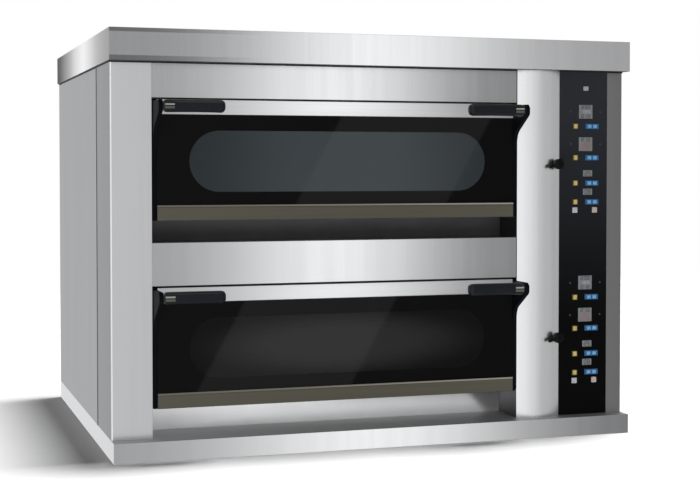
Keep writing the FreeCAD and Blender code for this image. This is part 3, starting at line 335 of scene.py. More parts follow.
steelTone = (0.60, 0.605, 0.61)
finishes = {
    "steelPanel": brushedSteel("steelPanel", steelTone, 0.25, "panel"),
    # a brighter copy of the steel for the left post: painted light
    "steelPost": brushedSteel("steelPost", (0.8, 0.805, 0.81), 0.3, "upright"),
    # the cap's steel, with painted shade on its upper and lower edges and towards its left end
    "steelCap": edgeShadedSteel("steelCap", {"upper": (0.9765, 0.9785), "lower": (0.9255, 0.9235),
                                         "left": (-0.25, -0.64),
                                         "edgeShadeTone": 0.42, "leftShadeTone": 0.88}),
    # a darker copy of the steel for the plinth's top: painted shade
    "plinthTop": brushedSteel("plinthTop", (0.47, 0.472, 0.475), 0.52, "across", anisotropy=0.0),
    "jambSteel": brushedSteel("jambSteel", (0.13, 0.13, 0.135), 0.4, "upright", anisotropy=0.2),
    # a dark finish for the cap's underside: painted shade
    "capUnderside": coated("capUnderside", (0.03, 0.03, 0.031), 0.5, gloss=0.3),
    # the side seams' bead tone: painted shade
    "seamSeal": coated("seamSeal", (0.17, 0.17, 0.172), 0.6, gloss=0.3),
    # a near-black finish for the strips of painted shadow
    "jointSeal": coated("jointSeal", (0.02, 0.02, 0.021), 0.6, gloss=0.3),
    "steelTop": brushedSteel("steelTop", steelTone, 0.3, "across", anisotropy=0.2),
    "doorSteel": brushedSteel("doorSteel", (0.42, 0.42, 0.42), 0.36, "across", anisotropy=0.2, wear=0.06),
    "steelColumn": brushedSteel("steelColumn", (0.66, 0.665, 0.67), 0.28, "upright", anisotropy=0.3),
    "steelStrip": brushedSteel("steelStrip", (0.42, 0.42, 0.425), 0.36, "upright", anisotropy=0.2),
    # darker copies of the steel for the side sheets and the posts' side faces: painted shade
    "steelSide": brushedSteel("steelSide", (0.328, 0.332, 0.336), 0.36, "upright", anisotropy=0.2),
    "steelReturn": brushedSteel("steelReturn", (0.245, 0.249, 0.253), 0.36, "upright", anisotropy=0.2),
    "capEnd": paintedHighlightSteel("capEnd", ((0.52, 0.57), (0.3, 0.74), (0.14, 0.96), (0.02, 0.97), (-0.15, 0.74),
                                       (-0.35, 0.42), (-0.49, 0.24))),
    "railSteel": brushedSteel("railSteel", (0.68, 0.685, 0.69), 0.25, "across"),
    # a lighter bronze for the rail's upper lip: painted highlight
    "bronzeLip": brushedSteel("bronzeLip", (0.24, 0.225, 0.185), 0.36, "across", anisotropy=0.3, wear=0.08),
    "bronze": brushedSteel("bronze", (0.185, 0.172, 0.137), 0.34, "across", anisotropy=0.4, wear=0.08),
    "galvanised": galvanised("galvanised"),
    "darkSheet": coated("darkSheet", (0.2, 0.2, 0.21), 0.42, gloss=0.35),
    "sidePlate": coated("sidePlate", (0.004, 0.005, 0.007), 0.55, gloss=0.05),
    "grip": coated("grip", (0.007, 0.0085, 0.013), 0.36, gloss=0.3, grainSize=1100),
    "inlay": coated("inlay", (0.5, 0.5, 0.47), 0.3, gloss=0.5, metallic=0.4),
    "inlayDull": coated("inlayDull", (0.13, 0.13, 0.115), 0.4, gloss=0.4),
    "inlayBed": coated("inlayBed", (0.012, 0.014, 0.009), 0.5, gloss=0.3),
    "blackGlass": tintedGlass("blackGlass", (0.004, 0.004, 0.004), 1.0, 0.02, 0.09),
    # the windows carry painted shade towards their rims
    "upperWindow": tintedGlass("upperWindow", (0.072, 0.087, 0.095), 0.95, 0.03, 0.12,
                               {"middle": (-0.0975, 0, 0), "reach": (0.369, 0, 0), "start": 0.25,
                                "colour": (0.038, 0.047, 0.053)}),
    "lowerWindow": tintedGlass("lowerWindow", (0.031, 0.031, 0.031), 0.95, 0.03, 0.12,
                               {"middle": (-0.0975, 0, 0.2515), "reach": (0.385, 0, 0.085), "start": 0.35,
                                "colour": (0.0045, 0.0045, 0.0047)}),
    "fascia": fasciaWithPaintedSheen("fascia", (0.001, 0.001, 0.001), (0.036, 0.040, 0.047)),
    "lever": coated("lever", (0.003, 0.003, 0.003), 0.28, gloss=0.14, grainSize=500, depth=0.00002),
    "yellowKey": glowing("yellowKey", (0.2, 0.13, 0.012), 0.15),
    "yellowPad": glowing("yellowPad", (0.48, 0.40, 0.17), 0.3),
    "blueKey": glowing("blueKey", (0.02, 0.105, 0.26), 0.2),
    "bluePad": glowing("bluePad", (0.13, 0.31, 0.52), 0.3),
    "whiteKey": glowing("whiteKey", (0.42, 0.43, 0.46), 0.25),
    "paleKey": glowing("paleKey", (0.45, 0.375, 0.34), 0.25),
    "displayFace": glowing("displayFace", (0.17, 0.175, 0.18), 0.35, roughness=0.2),
    "digit": coated("digit", (0.045, 0.047, 0.05), 0.4),
    "coolDigit": glowing("coolDigit", (0.3, 0.36, 0.4), 0.3),
    "redDigit": glowing("redDigit", (0.26, 0.11, 0.11), 0.3),
    "lens": glowing("lens", (0.03, 0.026, 0.028), 0.2, roughness=0.15),
    "brightLens": glowing("brightLens", (0.3, 0.32, 0.36), 0.3, roughness=0.2),
    "chamberSteel": brushedSteel("chamberSteel", (0.22, 0.2, 0.18), 0.45, "deep", wear=0.15),
    "frameEnamel": coated("frameEnamel", (0.03, 0.03, 0.032), 0.35, gloss=0.4),
    "stone": speckled("stone", (0.42, 0.37, 0.30), (0.6, 0.55, 0.47), 220, 0.9, 0.0004),
    "wool": speckled("wool", (0.5, 0.43, 0.2), (0.72, 0.65, 0.4), 160, 0.95, 0.003),
    "rope": speckled("rope", (0.45, 0.42, 0.34), (0.65, 0.62, 0.54), 700, 0.95, 0.0003),
    "heater": brushedSteel("heater", (0.2, 0.18, 0.17), 0.42, "across", anisotropy=0.0, wear=0.2),
    "lampGlass": tintedGlass("lampGlass", (0.75, 0.7, 0.55), 0.75, 0.08, 0.5),
    "bearing": coated("bearing", (0.16, 0.16, 0.165), 0.45, metallic=1.0, grainSize=400),
    "screwSteel": coated("screwSteel", (0.62, 0.62, 0.63), 0.28, metallic=1.0, grainSize=600, depth=0.00002),
    "switchPlastic": coated("switchPlastic", (0.5, 0.5, 0.48), 0.5),
    "gland": coated("gland", (0.02, 0.02, 0.02), 0.5, gloss=0.4),
    "board": coated("board", (0.02, 0.12, 0.05), 0.4),
}
print("materials made:", len(finishes))


# shared making steps

def meshFrom(name, work):
    mesh = bpy.data.meshes.new(name)
    work.to_mesh(mesh)
    work.free()
    return mesh


def addObject(name, mesh, *materialNames):
    thing = bpy.data.objects.new(name, mesh)
    bpy.context.scene.collection.objects.link(thing)
    if len(mesh.materials):
        mesh.materials.clear()
    for materialName in materialNames:
        mesh.materials.append(finishes[materialName])
    return thing


def freeze(thing):
    # the modifiers' result becomes the plain mesh
    graph = bpy.context.evaluated_depsgraph_get()
    mesh = bpy.data.meshes.new_from_object(thing.evaluated_get(graph))
    thing.modifiers.clear()
    old = thing.data
    thing.data = mesh
    if isinstance(old, bpy.types.Mesh):
        bpy.data.meshes.remove(old)
    return thing


def roundEdges(thing, width, segments=2, angle=35):
    bevel = thing.modifiers.new("edges", "BEVEL")
    bevel.width = width
    bevel.segments = segments
    bevel.limit_method = "ANGLE"
    bevel.angle_limit = math.radians(angle)
    bevel.harden_normals = True
    bevel.use_clamp_overlap = True
    for face in thing.data.polygons:
        face.use_smooth = True
    thing.data.set_sharp_from_angle(angle=math.radians(angle))
    return freeze(thing)


def settle(thing, body, standsFor=()):
    if standsFor:
        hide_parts(*standsFor)
    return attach(thing, body)


def refine(nodeName, materialName, width=0.0006, segments=2, angle=35):
    # a copy of a sub-part's mesh, merged, with its edges rounded
    source = frame["nodes"][nodeName]
    mesh = source.data.copy()
    work = bmesh.new()
    work.from_mesh(mesh)
    bmesh.ops.remove_doubles(work, verts=work.verts, dist=1e-5)
    bmesh.ops.dissolve_limit(work, angle_limit=math.radians(0.5), verts=work.verts, edges=work.edges)
    work.to_mesh(mesh)
    work.free()
    piece = addObject(nodeName + "_finished", mesh, materialName)
    roundEdges(piece, width, segments, angle)
    return settle(piece, source["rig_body"], [nodeName])


def paint(nodeName, materialName):
    # a sub-part whose CAD mesh is shown as it is
    mesh = frame["nodes"][nodeName].data
    mesh.materials.clear()
    mesh.materials.append(finishes[materialName])


def boxInto(work, low, high, material=0):
    made = bmesh.ops.create_cube(work, size=1.0)
    centre = [(a + b) / 2 for a, b in zip(low, high)]
    size = [b - a for a, b in zip(low, high)]
    for vertex in made["verts"]:
        vertex.co = Vector([c + v * s for c, v, s in zip(centre, vertex.co, size)])
    for face in {f for v in made["verts"] for f in v.link_faces}:
        face.material_index = material
    return made["verts"]


def slab(name, outlines, front, back, width, *materialNames):
    # a flat plate facing the front: closed outlines in x and z, the inner ones cut holes
    curve = bpy.data.curves.new(name, "CURVE")
    curve.dimensions = "2D"
    curve.fill_mode = "BOTH"
    curve.extrude = (back - front) / 2 - width
    curve.bevel_depth = width
    curve.bevel_resolution = 1
    curve.offset = -width
    for outline in outlines:
        spline = curve.splines.new("POLY")
        spline.points.add(len(outline) - 1)
        for point, (x, z) in zip(spline.points, outline):
            point.co = (x, z, 0, 1)
        spline.use_cyclic_u = True
    flat = bpy.data.objects.new(name, curve)
    bpy.context.scene.collection.objects.link(flat)
    mesh = bpy.data.meshes.new_from_object(flat.evaluated_get(bpy.context.evaluated_depsgraph_get()))
    bpy.data.objects.remove(flat)
    bpy.data.curves.remove(curve)
    mesh.transform(Matrix.Translation((0, (front + back) / 2, 0)) @ Matrix.Rotation(math.pi / 2, 4, "X"))
    work = bmesh.new()
    work.from_mesh(mesh)
    bmesh.ops.remove_doubles(work, verts=work.verts, dist=1e-6)
    bmesh.ops.recalc_face_normals(work, faces=work.faces)
    work.to_mesh(mesh)
    work.free()
    return addObject(name, mesh, *materialNames)


def roundedRectangle(low, high, radius, steps=5):
    # corners given as (x, z)
    outline = []
    corners = ((high[0], high[1], 0), (low[0], high[1], 90), (low[0], low[1], 180), (high[0], low[1], 270))
    for x, z, start in corners:
        towardsX = -1 if start in (0, 270) else 1
        towardsZ = -1 if start in (0, 90) else 1
        for i in range(steps + 1):
            angle = math.radians(start + 90 * i / steps)
            outline.append((x + towardsX * radius + radius * math.cos(angle),
                            z + towardsZ * radius + radius * math.sin(angle)))
    return outline


def geometryTree(name, sockets):
    tree = bpy.data.node_groups.new(name, "GeometryNodeTree")
    tree.interface.new_socket("Geometry", in_out="OUTPUT", socket_type="NodeSocketGeometry")
    for label, kind in sockets:
        tree.interface.new_socket(label, in_out="INPUT", socket_type="NodeSocket" + kind)
    return tree, tree.nodes.new("NodeGroupInput"), tree.nodes.new("NodeGroupOutput")


def runTree(name, tree, values, materialNames):
    # makes the tree's result into a plain mesh object
    mesh = bpy.data.meshes.new(name)
    thing = addObject(name, mesh, *materialNames)
    modifier = thing.modifiers.new("nodes", "NODES")
    modifier.node_group = tree
    for socket in tree.interface.items_tree:
        if socket.in_out == "INPUT":
            modifier[socket.identifier] = values[socket.name]
    freeze(thing)
    return thing


def makeGridTree():
    # one item repeated on columns and rows
    tree, given, result = geometryTree("itemGrid", [
        ("Item", "Object"), ("Start", "Vector"), ("Columns", "Int"), ("Column step", "Vector"),
        ("Rows", "Int"), ("Row step", "Vector"), ("Finish", "Material")])
    add, link = tree.nodes.new, tree.links.new
    columns, rows = add("GeometryNodeMeshLine"), add("GeometryNodeMeshLine")
    for line, count, step in ((columns, "Columns", "Column step"), (rows, "Rows", "Row step")):
        line.mode = "OFFSET"
        link(given.outputs[count], line.inputs["Count"])
        link(given.outputs[step], line.inputs["Offset"])
    link(given.outputs["Start"], columns.inputs["Start Location"])
    places, realPlaces = add("GeometryNodeInstanceOnPoints"), add("GeometryNodeRealizeInstances")
    items, realItems = add("GeometryNodeInstanceOnPoints"), add("GeometryNodeRealizeInstances")
    source, finish = add("GeometryNodeObjectInfo"), add("GeometryNodeSetMaterial")
    link(columns.outputs["Mesh"], places.inputs["Points"])
    link(rows.outputs["Mesh"], places.inputs["Instance"])
    link(places.outputs["Instances"], realPlaces.inputs["Geometry"])
    link(realPlaces.outputs["Geometry"], items.inputs["Points"])
    link(given.outputs["Item"], source.inputs["Object"])
    link(source.outputs["Geometry"], items.inputs["Instance"])
    link(items.outputs["Instances"], realItems.inputs["Geometry"])
    link(realItems.outputs["Geometry"], finish.inputs["Geometry"])
    link(given.outputs["Finish"], finish.inputs["Material"])
    link(finish.outputs["Geometry"], result.inputs["Geometry"])
    return tree


gridTree = makeGridTree()


def repeatItem(name, item, start, columns, columnStep, rows, rowStep, materialName):
    thing = runTree(name, gridTree, {
        "Item": item, "Start": start, "Columns": columns, "Column step": columnStep,
        "Rows": rows, "Row step": rowStep, "Finish": finishes[materialName]}, [materialName])
    for face in thing.data.polygons:
        face.use_smooth = True
    thing.data.set_sharp_from_angle(angle=math.radians(32))
    bpy.data.objects.remove(item)
    return thing


def turned(name, profile, steps, axis="Y"):
    # a closed solid of revolution from (distance along, radius) pairs; the ends close on the axis
    work = bmesh.new()
    rings = []
    for along, radius in profile:
        ring = []
        for i in range(steps):
            angle = 2 * math.pi * i / steps
            u, v = radius * math.cos(angle), radius * math.sin(angle)
            place = {"Y": (u, along, v), "X": (along, u, v), "Z": (u, v, along)}[axis]
            ring.append(work.verts.new(place))
        rings.append(ring)
    for first, second in zip(rings, rings[1:]):
        for i in range(steps):
            j = (i + 1) % steps
            work.faces.new((first[i], first[j], second[j], second[i]))
    work.faces.new(rings[0])
    work.faces.new(reversed(rings[-1]))
    bmesh.ops.recalc_face_normals(work, faces=work.faces)
    mesh = meshFrom(name, work)
    for face in mesh.polygons:
        face.use_smooth = True
    mesh.set_sharp_from_angle(angle=math.radians(35))
    return mesh


# casing

casing = {
    "plinth_frame": ("steelPanel", 0.0014), "left_front_post": ("steelPost", 0.0004),
    "right_front_post": ("steelStrip", 0.0004), "side_panels": ("steelSide", 0.0005),
    "back_panel": ("galvanised", 0.0004), "top_cap": ("steelCap", 0.0018),
    "header_panel": ("steelPanel", 0.0004), "middle_panel": ("steelPanel", 0.0004),
    "kick_panel": ("steelPanel", 0.0005), "upper_sill_panel": ("darkSheet", 0.0005),
    "control_fascia": ("fascia", 0.0005), "column_cover": ("steelColumn", 0.0003),
    "jamb_walls": ("jambSteel", 0.0004),
}
for nodeName, (materialName, width) in casing.items():
    refine(nodeName, materialName, width)


def finishFacing(piece, direction, materialName):
    # the faces that look one way get a finish of their own
    mesh = piece.data
    mesh.materials.append(finishes[materialName])
    for face in mesh.polygons:
        if face.normal.dot(Vector(direction)) > 0.9:
            face.material_index = len(mesh.materials) - 1


seamSize = {"deep": 0.0025, "proud": 0.0012, "edge": 0.0005}


def makeSeams():
    # a bead between each front post's return and the side sheet behind it, its grey tone a painted shade of
    # the seam
    low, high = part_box("side_panels")
    work = bmesh.new()
    start, end = low.y - seamSize["deep"], low.y
    for x, outwards in ((low.x, -1), (high.x, 1)):
        edges = sorted((x + outwards * seamSize["proud"], x - outwards * seamSize["proud"]))
        boxInto(work, (edges[0], start, low.z), (edges[1], end, high.z))
    mesh = meshFrom("sideSeams", work)
    seams = addObject("sideSeams", mesh, "seamSeal")
    roundEdges(seams, seamSize["edge"], 2)
    settle(seams, "oven_body")


shadowStripSize = {"tall": 0.003, "wide": 0.002, "proud": 0.0003, "deep": 0.001}


def makeShadowStrips():
    # dark strips of painted shadow: under the cap, and at the panels' ends beside the column cover
    size = shadowStripSize
    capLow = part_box("top_cap")[0].z
    low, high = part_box("side_panels")
    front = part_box("header_panel")[0].y
    work = bmesh.new()
    boxInto(work, (low.x, front - size["proud"], capLow - size["tall"]),
            (high.x, front + size["deep"], capLow))
    for x, outwards in ((low.x, -1), (high.x, 1)):
        edges = sorted((x + outwards * size["proud"], x - outwards * size["deep"]))
        boxInto(work, (edges[0], front, capLow - size["tall"]), (edges[1], high.y, capLow))
    for panel in ("header_panel", "middle_panel"):
        low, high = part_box(panel)
        boxInto(work, (high.x - size["wide"], low.y - size["proud"], low.z),
                (high.x, low.y + size["deep"], high.z))
    mesh = meshFrom("casingJoints", work)
    settle(addObject("casingJoints", mesh, "jointSeal"), "oven_body")


# the plinth's upward faces get the darker copy of the steel: painted shade
finishFacing(bpy.data.objects["plinth_frame_finished"], (0, 0, 1), "plinthTop")
finishFacing(bpy.data.objects["top_cap_finished"], (0, 0, 1), "steelTop")
# the cap's downward faces get the painted shade
finishFacing(bpy.data.objects["top_cap_finished"], (0, 0, -1), "capUnderside")
# the cap's two ends get a painted highlight
finishFacing(bpy.data.objects["top_cap_finished"], (-1, 0, 0), "capEnd")
finishFacing(bpy.data.objects["top_cap_finished"], (1, 0, 0), "capEnd")
# the posts' sideways faces get the darker copy of the steel: painted shade
finishFacing(bpy.data.objects["left_front_post_finished"], (-1, 0, 0), "steelReturn")
finishFacing(bpy.data.objects["right_front_post_finished"], (1, 0, 0), "steelReturn")
makeSeams()
makeShadowStrips()
print("casing finished")

rearTrim = {"screwSteps": 20, "screwRadius": 0.0045, "screwRows": 7,
             "louvreCount": 8, "louvreStep": 0.018, "louvreReach": 0.006, "louvreWide": 0.158}


def makeScrews():
    low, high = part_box("casing_screws")
    radius, rows = rearTrim["screwRadius"], rearTrim["screwRows"]
    face = high.y
    head = bpy.data.objects.new("screwHead", turned("screwHead", [
        (face - 0.0025, radius), (face - 0.0012, radius), (face - 0.0005, radius * 0.86),
        (face, radius * 0.55), (face, radius * 0.42), (face - 0.0012, radius * 0.3)], rearTrim["screwSteps"]))
    bpy.context.scene.collection.objects.link(head)
    screws = repeatItem("casingScrews", head, (low.x + radius, 0, low.z + radius), 2,
                        (high.x - low.x - 2 * radius, 0, 0), rows,
                        (0, 0, (high.z - low.z - 2 * radius) / (rows - 1)), "screwSteel")
    settle(screws, "oven_body", ["casing_screws"])


def makeLouvres():
    # pressed hoods over the rear slots
    low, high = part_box("back_panel")
    reach, wide = rearTrim["louvreReach"], rearTrim["louvreWide"]
    back = high.y
    work = bmesh.new()
    profile = [(0.0, 0.0105), (0.25, 0.0095), (0.7, 0.006), (0.95, 0.002), (1.0, -0.001)]
    rows = []
    for step in range(13):
        along = -wide / 2 + wide * step / 12
        lift = math.sqrt(max(0.0, 1 - abs(2 * along / wide) ** 6))
        rows.append([work.verts.new((along, back + reach * out * lift + 0.0002, up)) for out, up in profile])
    for first, second in zip(rows, rows[1:]):
        for i in range(len(profile) - 1):
            work.faces.new((first[i], first[i + 1], second[i + 1], second[i]))
    bmesh.ops.recalc_face_normals(work, faces=work.faces)
    bmesh.ops.solidify(work, geom=work.faces[:], thickness=0.0008)
    mesh = meshFrom("louvreHood", work)
    hood = bpy.data.objects.new("louvreHood", mesh)
    bpy.context.scene.collection.objects.link(hood)
    firstField = low.x - 0.0015 + 0.18 + 0.075
    louvres = repeatItem("rearLouvres", hood, (firstField, 0, low.z + 0.36 + 0.0035), 2,
                         (high.x + 0.0015 - 0.25 + 0.075 - firstField, 0, 0),
                         rearTrim["louvreCount"], (0, 0, rearTrim["louvreStep"]), "galvanised")
    settle(louvres, "oven_body")


makeScrews()
makeLouvres()
print("rear trim finished")


# doors

doorGlass = {"edge": 0.0004, "windowWide": 0.738, "windowTall": 0.142, "windowMiddle": -0.0975, "steps": 24}
doorMetal = {"edge": 0.0005, "bronzeEdge": 0.0003}


def obroundOutline(centreX, centreZ, wide, tall, steps):
    radius = tall / 2
    reach = wide / 2 - radius
    outline = []
    for side, start in ((1, -90), (-1, 90)):
        for i in range(steps + 1):
            angle = math.radians(start + 180 * i / steps)
            outline.append((centreX + side * reach + radius * math.cos(angle),
                            centreZ + radius * math.sin(angle)))
    return outline


def makePanes(deck):
    body = deck + "_door"
    low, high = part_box(deck + "_door_panes")
    back = low.y + 0.005
    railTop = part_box(deck + "_door_top_rail")[1].z
    centre = railTop - 0.1425
    window = obroundOutline(doorGlass["windowMiddle"], centre, doorGlass["windowWide"],
                            doorGlass["windowTall"], doorGlass["steps"])
    sheet = roundedRectangle((low.x, low.z), (high.x, high.z), 0.0005, 2)
    border = slab(deck + "_glassBorder", [sheet, window], low.y, back, 0.00001, "blackGlass")
    settle(border, body, [deck + "_door_panes"])
    clear = slab(deck + "_glassWindow", [window], low.y + 0.00002, back, 0.00001, deck + "Window")
    settle(clear, body, [deck + "_door_panes"])
    inner = obroundOutline(doorGlass["windowMiddle"], centre, doorGlass["windowWide"] - 0.0004,
                           doorGlass["windowTall"] - 0.0004, doorGlass["steps"])
    rear = slab(deck + "_innerPane", [inner], high.y - 0.004, high.y, 0.0003, deck + "Window")
    settle(rear, body, [deck + "_door_panes"])


gripShape = {"rounding": 0.0122, "palm": 0.006, "frontSet": 0.0006}
# inlay bars: height above the grip's middle, thickness, finish
inlayShape = {"wide": 0.024, "tall": 0.021, "set": 0.0035, "edge": 0.0003,
              "bars": ((0.0035, 0.0036, "inlay"), (-0.0035, 0.0055, "inlayDull"))}


def makeGrips(deck):
    low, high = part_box(deck + "_door_handles")
    length = 0.145
    size = gripShape
    for side in ("left", "right"):
        start, end = (low.x, low.x + length) if side == "left" else (high.x - length, high.x)
        work = bmesh.new()
        boxInto(work, (start, low.y + size["frontSet"], low.z), (end, high.y, high.z))
        cuts = 10
        for i in range(1, cuts):
            x = start + (end - start) * i / cuts
            bmesh.ops.bisect_plane(work, geom=work.verts[:] + work.edges[:] + work.faces[:],
                                   plane_co=(x, 0, 0), plane_no=(1, 0, 0))
        middle = (start + end) / 2
        for vertex in work.verts:
            # hollow for the fingers along the rear lower edge
            bow = 1 - min(1.0, abs(vertex.co.x - middle) / (length / 2)) ** 2
            if vertex.co.y > high.y - 1e-5 and vertex.co.z < low.z + 1e-5:
                vertex.co.y -= size["palm"] * bow
                vertex.co.z += size["palm"] * 0.3 * bow
        mesh = meshFrom("grip", work)
        grip = addObject(f"{deck}_{side}_grip", mesh, "grip")
        bevel = grip.modifiers.new("edges", "BEVEL")
        bevel.width = size["rounding"]
        bevel.segments = 5
        bevel.limit_method = "ANGLE"
        bevel.angle_limit = math.radians(50)
        bevel.harden_normals = True
        for face in grip.data.polygons:
            face.use_smooth = True
        freeze(grip)
        settle(grip, deck + "_door", [deck + "_door_handles"])

        shape = inlayShape
        inlayX = start + shape["set"] if side == "left" else end - shape["set"] - shape["wide"]
        middleZ = (low.z + high.z) / 2
        work = bmesh.new()
        boxInto(work, (inlayX, low.y + 0.0003, middleZ - shape["tall"] / 2),
                (inlayX + shape["wide"], low.y + 0.003, middleZ + shape["tall"] / 2), 0)
        for i, (rise, thick, _) in enumerate(shape["bars"]):
            boxInto(work, (inlayX + 0.001, low.y, middleZ + rise - thick / 2),
                    (inlayX + shape["wide"] - 0.001, low.y + 0.002, middleZ + rise + thick / 2), i + 1)
        mesh = meshFrom("inlay", work)
        inlay = addObject(f"{deck}_{side}_gripInlay", mesh, "inlayBed", *(bar[2] for bar in shape["bars"]))
        roundEdges(inlay, shape["edge"], 1)
        settle(inlay, deck + "_door")


railLip = {"tall": 0.004, "proud": 0.0003, "sunk": 0.001, "rounding": 0.0003, "edge": 0.0001}


def makeRailLip(deck):
    # the folded upper edge of the bottom rail, in a lighter bronze: a painted highlight
    low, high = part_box(deck + "_door_bottom_rail")
    outline = roundedRectangle((low.x, high.z - railLip["tall"]), (high.x, high.z), railLip["rounding"], 2)
    front, back = low.y - railLip["proud"], low.y + railLip["sunk"]
    lip = slab(deck + "_railLip", [outline], front, back, railLip["edge"], "bronzeLip")
    settle(lip, deck + "_door")


for deck in decks:
    makePanes(deck)
    makeRailLip(deck)
    makeGrips(deck)
    refine(deck + "_door_top_rail", "railSteel", doorMetal["bronzeEdge"])
    refine(deck + "_door_bottom_rail", "bronze", doorMetal["bronzeEdge"])
    finishFacing(refine(deck + "_door_frame", "frameEnamel", doorMetal["edge"]), (0, 1, 0), "doorSteel")
    refine(deck + "_door_side_plates", "sidePlate", 0.0012)
print("doors finished")


# dampers

leverShape = {"hub": 0.013, "hubDeep": 0.020, "run": 0.023, "fall": 0.006, "knob": 0.005, "steps": 40,
              "rod": 0.005, "flapReach": 0.03, "flapThick": 0.002, "flapFrom": 0.067, "flapTo": 0.007}


def makeLever(deck):
    low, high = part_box(deck + "_damper")
    size = leverShape
    axisX, axisZ = low.x + size["knob"] + size["run"], (low.z + high.z) / 2
    tilt = math.atan2(size["fall"], size["run"])
    front, rear = low.y, low.y + size["hubDeep"]
    hub = turned("hub", [(rear, size["hub"] * 0.92), (rear - 0.002, size["hub"]),
                         (front + 0.006, size["hub"]), (front + 0.003, size["hub"] * 0.9),
                         (front + 0.001, size["hub"] * 0.68),
                         (front, size["hub"] * 0.4), (front + 0.0004, size["hub"] * 0.25)], size["steps"])
    hub.transform(Matrix.Translation((axisX, 0, axisZ)))
    arm = turned("arm", [(-0.0046, 0.0010), (-0.0042, 0.0030), (-0.0026, 0.0046), (0.0, 0.0050),
                         (0.0028, 0.0046),
                         (0.0048, 0.0040), (0.009, 0.0046), (0.015, 0.0064), (0.021, 0.0085), (0.024, 0.009)],
                 size["steps"], "X")
    arm.transform(Matrix.Translation((axisX - size["run"], front + size["hubDeep"] / 2, axisZ - size["fall"]))
                  @ Matrix.Rotation(-tilt, 4, "Y"))
    work = bmesh.new()
    work.from_mesh(hub)
    work.from_mesh(arm)
    rod = turned("rod", [(rear - 0.002, size["rod"]), (high.y, size["rod"])], 24)
    rod.transform(Matrix.Translation((axisX, 0, axisZ)))
    before = len(work.faces)
    work.from_mesh(rod)
    work.faces.ensure_lookup_table()
    for face in work.faces[before:]:
        face.material_index = 1
    for side in (-1, 1):
        inner, outer = axisZ + side * size["rod"], axisZ + side * size["flapReach"]
        half = size["flapThick"] / 2
        boxInto(work, (axisX - half, high.y - size["flapFrom"], min(inner, outer)),
                (axisX + half, high.y - size["flapTo"], max(inner, outer)), 1)
    mesh = meshFrom(deck + "_lever", work)
    lever = addObject(deck + "_lever", mesh, "lever", "heater")
    for face in lever.data.polygons:
        face.use_smooth = True
    lever.data.set_sharp_from_angle(angle=math.radians(40))
    settle(lever, deck + "_damper_lever", [deck + "_damper"])


for deck in decks:
    makeLever(deck)
print("dampers finished")


# controls

keyShape = {"edge": 0.0014, "size": 0.0135, "rockerWide": 0.037, "padSet": 0.0055, "padWide": 0.0105,
            "padTall": 0.0088, "markWide": 0.0042, "markThick": 0.0008, "glowWide": 0.0092,
            "glowTall": 0.0105, "glowRounding": 0.0018}
keyRows = ("top_heat", "bottom_heat", "timer", "preset")


def makeKey(nodeName, materialName, padded=False):
    low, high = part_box(nodeName)
    refine(nodeName, materialName, keyShape["edge"], 3)
    centreX, centreZ = (low.x + high.x) / 2, (low.z + high.z) / 2
    front = low.y
    if padded:
        halfWide, halfTall = keyShape["glowWide"] / 2, keyShape["glowTall"] / 2
        outline = roundedRectangle((centreX - halfWide, centreZ - halfTall),
                                   (centreX + halfWide, centreZ + halfTall), keyShape["glowRounding"])
        marking = slab(nodeName + "_pad", [outline],
                       front - 0.00012, front + 0.0008, 0.0002, "yellowPad")
        settle(marking, nodeName + "_body")


def makeRocker(nodeName):
    low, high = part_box(nodeName)
    body = nodeName + "_body"
    size = keyShape
    middleX, middleZ = (low.x + high.x) / 2, (low.z + high.z) / 2
    top, bottom = middleZ + size["size"] / 2, middleZ - size["size"] / 2
    left, right = middleX - size["rockerWide"] / 2, middleX + size["rockerWide"] / 2
    work = bmesh.new()
    boxInto(work, (left, low.y + 0.0008, bottom), (right, high.y, top))
    mesh = meshFrom(nodeName + "_cap", work)
    cap = addObject(nodeName + "_cap", mesh, "blueKey")
    roundEdges(cap, 0.0009, 2)
    settle(cap, body, [nodeName])
    work = bmesh.new()
    halfPad = size["padWide"] / 2
    padMiddles = (left + size["padSet"] + halfPad, right - size["padSet"] - halfPad)
    for x in padMiddles:
        boxInto(work, (x - halfPad, low.y, middleZ - size["padTall"] / 2),
                (x + halfPad, low.y + 0.002, middleZ + size["padTall"] / 2))
    mesh = meshFrom(nodeName + "_pads", work)
    pads = addObject(nodeName + "_pads", mesh, "bluePad")
    roundEdges(pads, 0.0007, 2)
    settle(pads, body)
    work = bmesh.new()
    half, thick = size["markWide"] / 2, size["markThick"] / 2
    for x, upright in zip(padMiddles, (False, True)):
        boxInto(work, (x - half, low.y - 0.00008, middleZ - thick),
                (x + half, low.y + 0.0004, middleZ + thick))
        if upright:
            boxInto(work, (x - thick, low.y - 0.0001, middleZ - half),
                    (x + thick, low.y + 0.0004, middleZ + half))
    mesh = meshFrom(nodeName + "_marks", work)
    marks = addObject(nodeName + "_marks", mesh, "whiteKey")
    settle(marks, body)


displayShape = {"bezel": 0.0010, "wide": {3: 0.0055, 1: 0.0058}, "tall": {3: 0.0072, 1: 0.0105},
                "gap": 0.0035,
                "rowStep": 0.0112, "stroke": 0.0012, "relief": 0.0002}
segmentsOf = {"0": "abcdef", "1": "bc", "2": "abged", "3": "abgcd", "5": "afgcd", "8": "abcdefg"}
# each row's digits and the finish they light up in: 0 dark, 1 red, 2 cool white
readings = {"top_heat": (("230", 0), ("185", 2), ("012", 0)),
            "bottom_heat": (("210", 0), ("180", 1), ("038", 1)),
            "timer": (("25", 0),), "preset": (("08", 0),)}
displaySpots = {"top_heat": (0.5475, 0.126, 0.040, 0.037), "bottom_heat": (0.5475, 0.0445, 0.040, 0.037),
                "timer": (0.5535, -0.029, 0.028, 0.018), "preset": (0.5535, -0.0755, 0.028, 0.018)}
panelMiddle = {"upper": 0.6855, "lower": 0.2545}


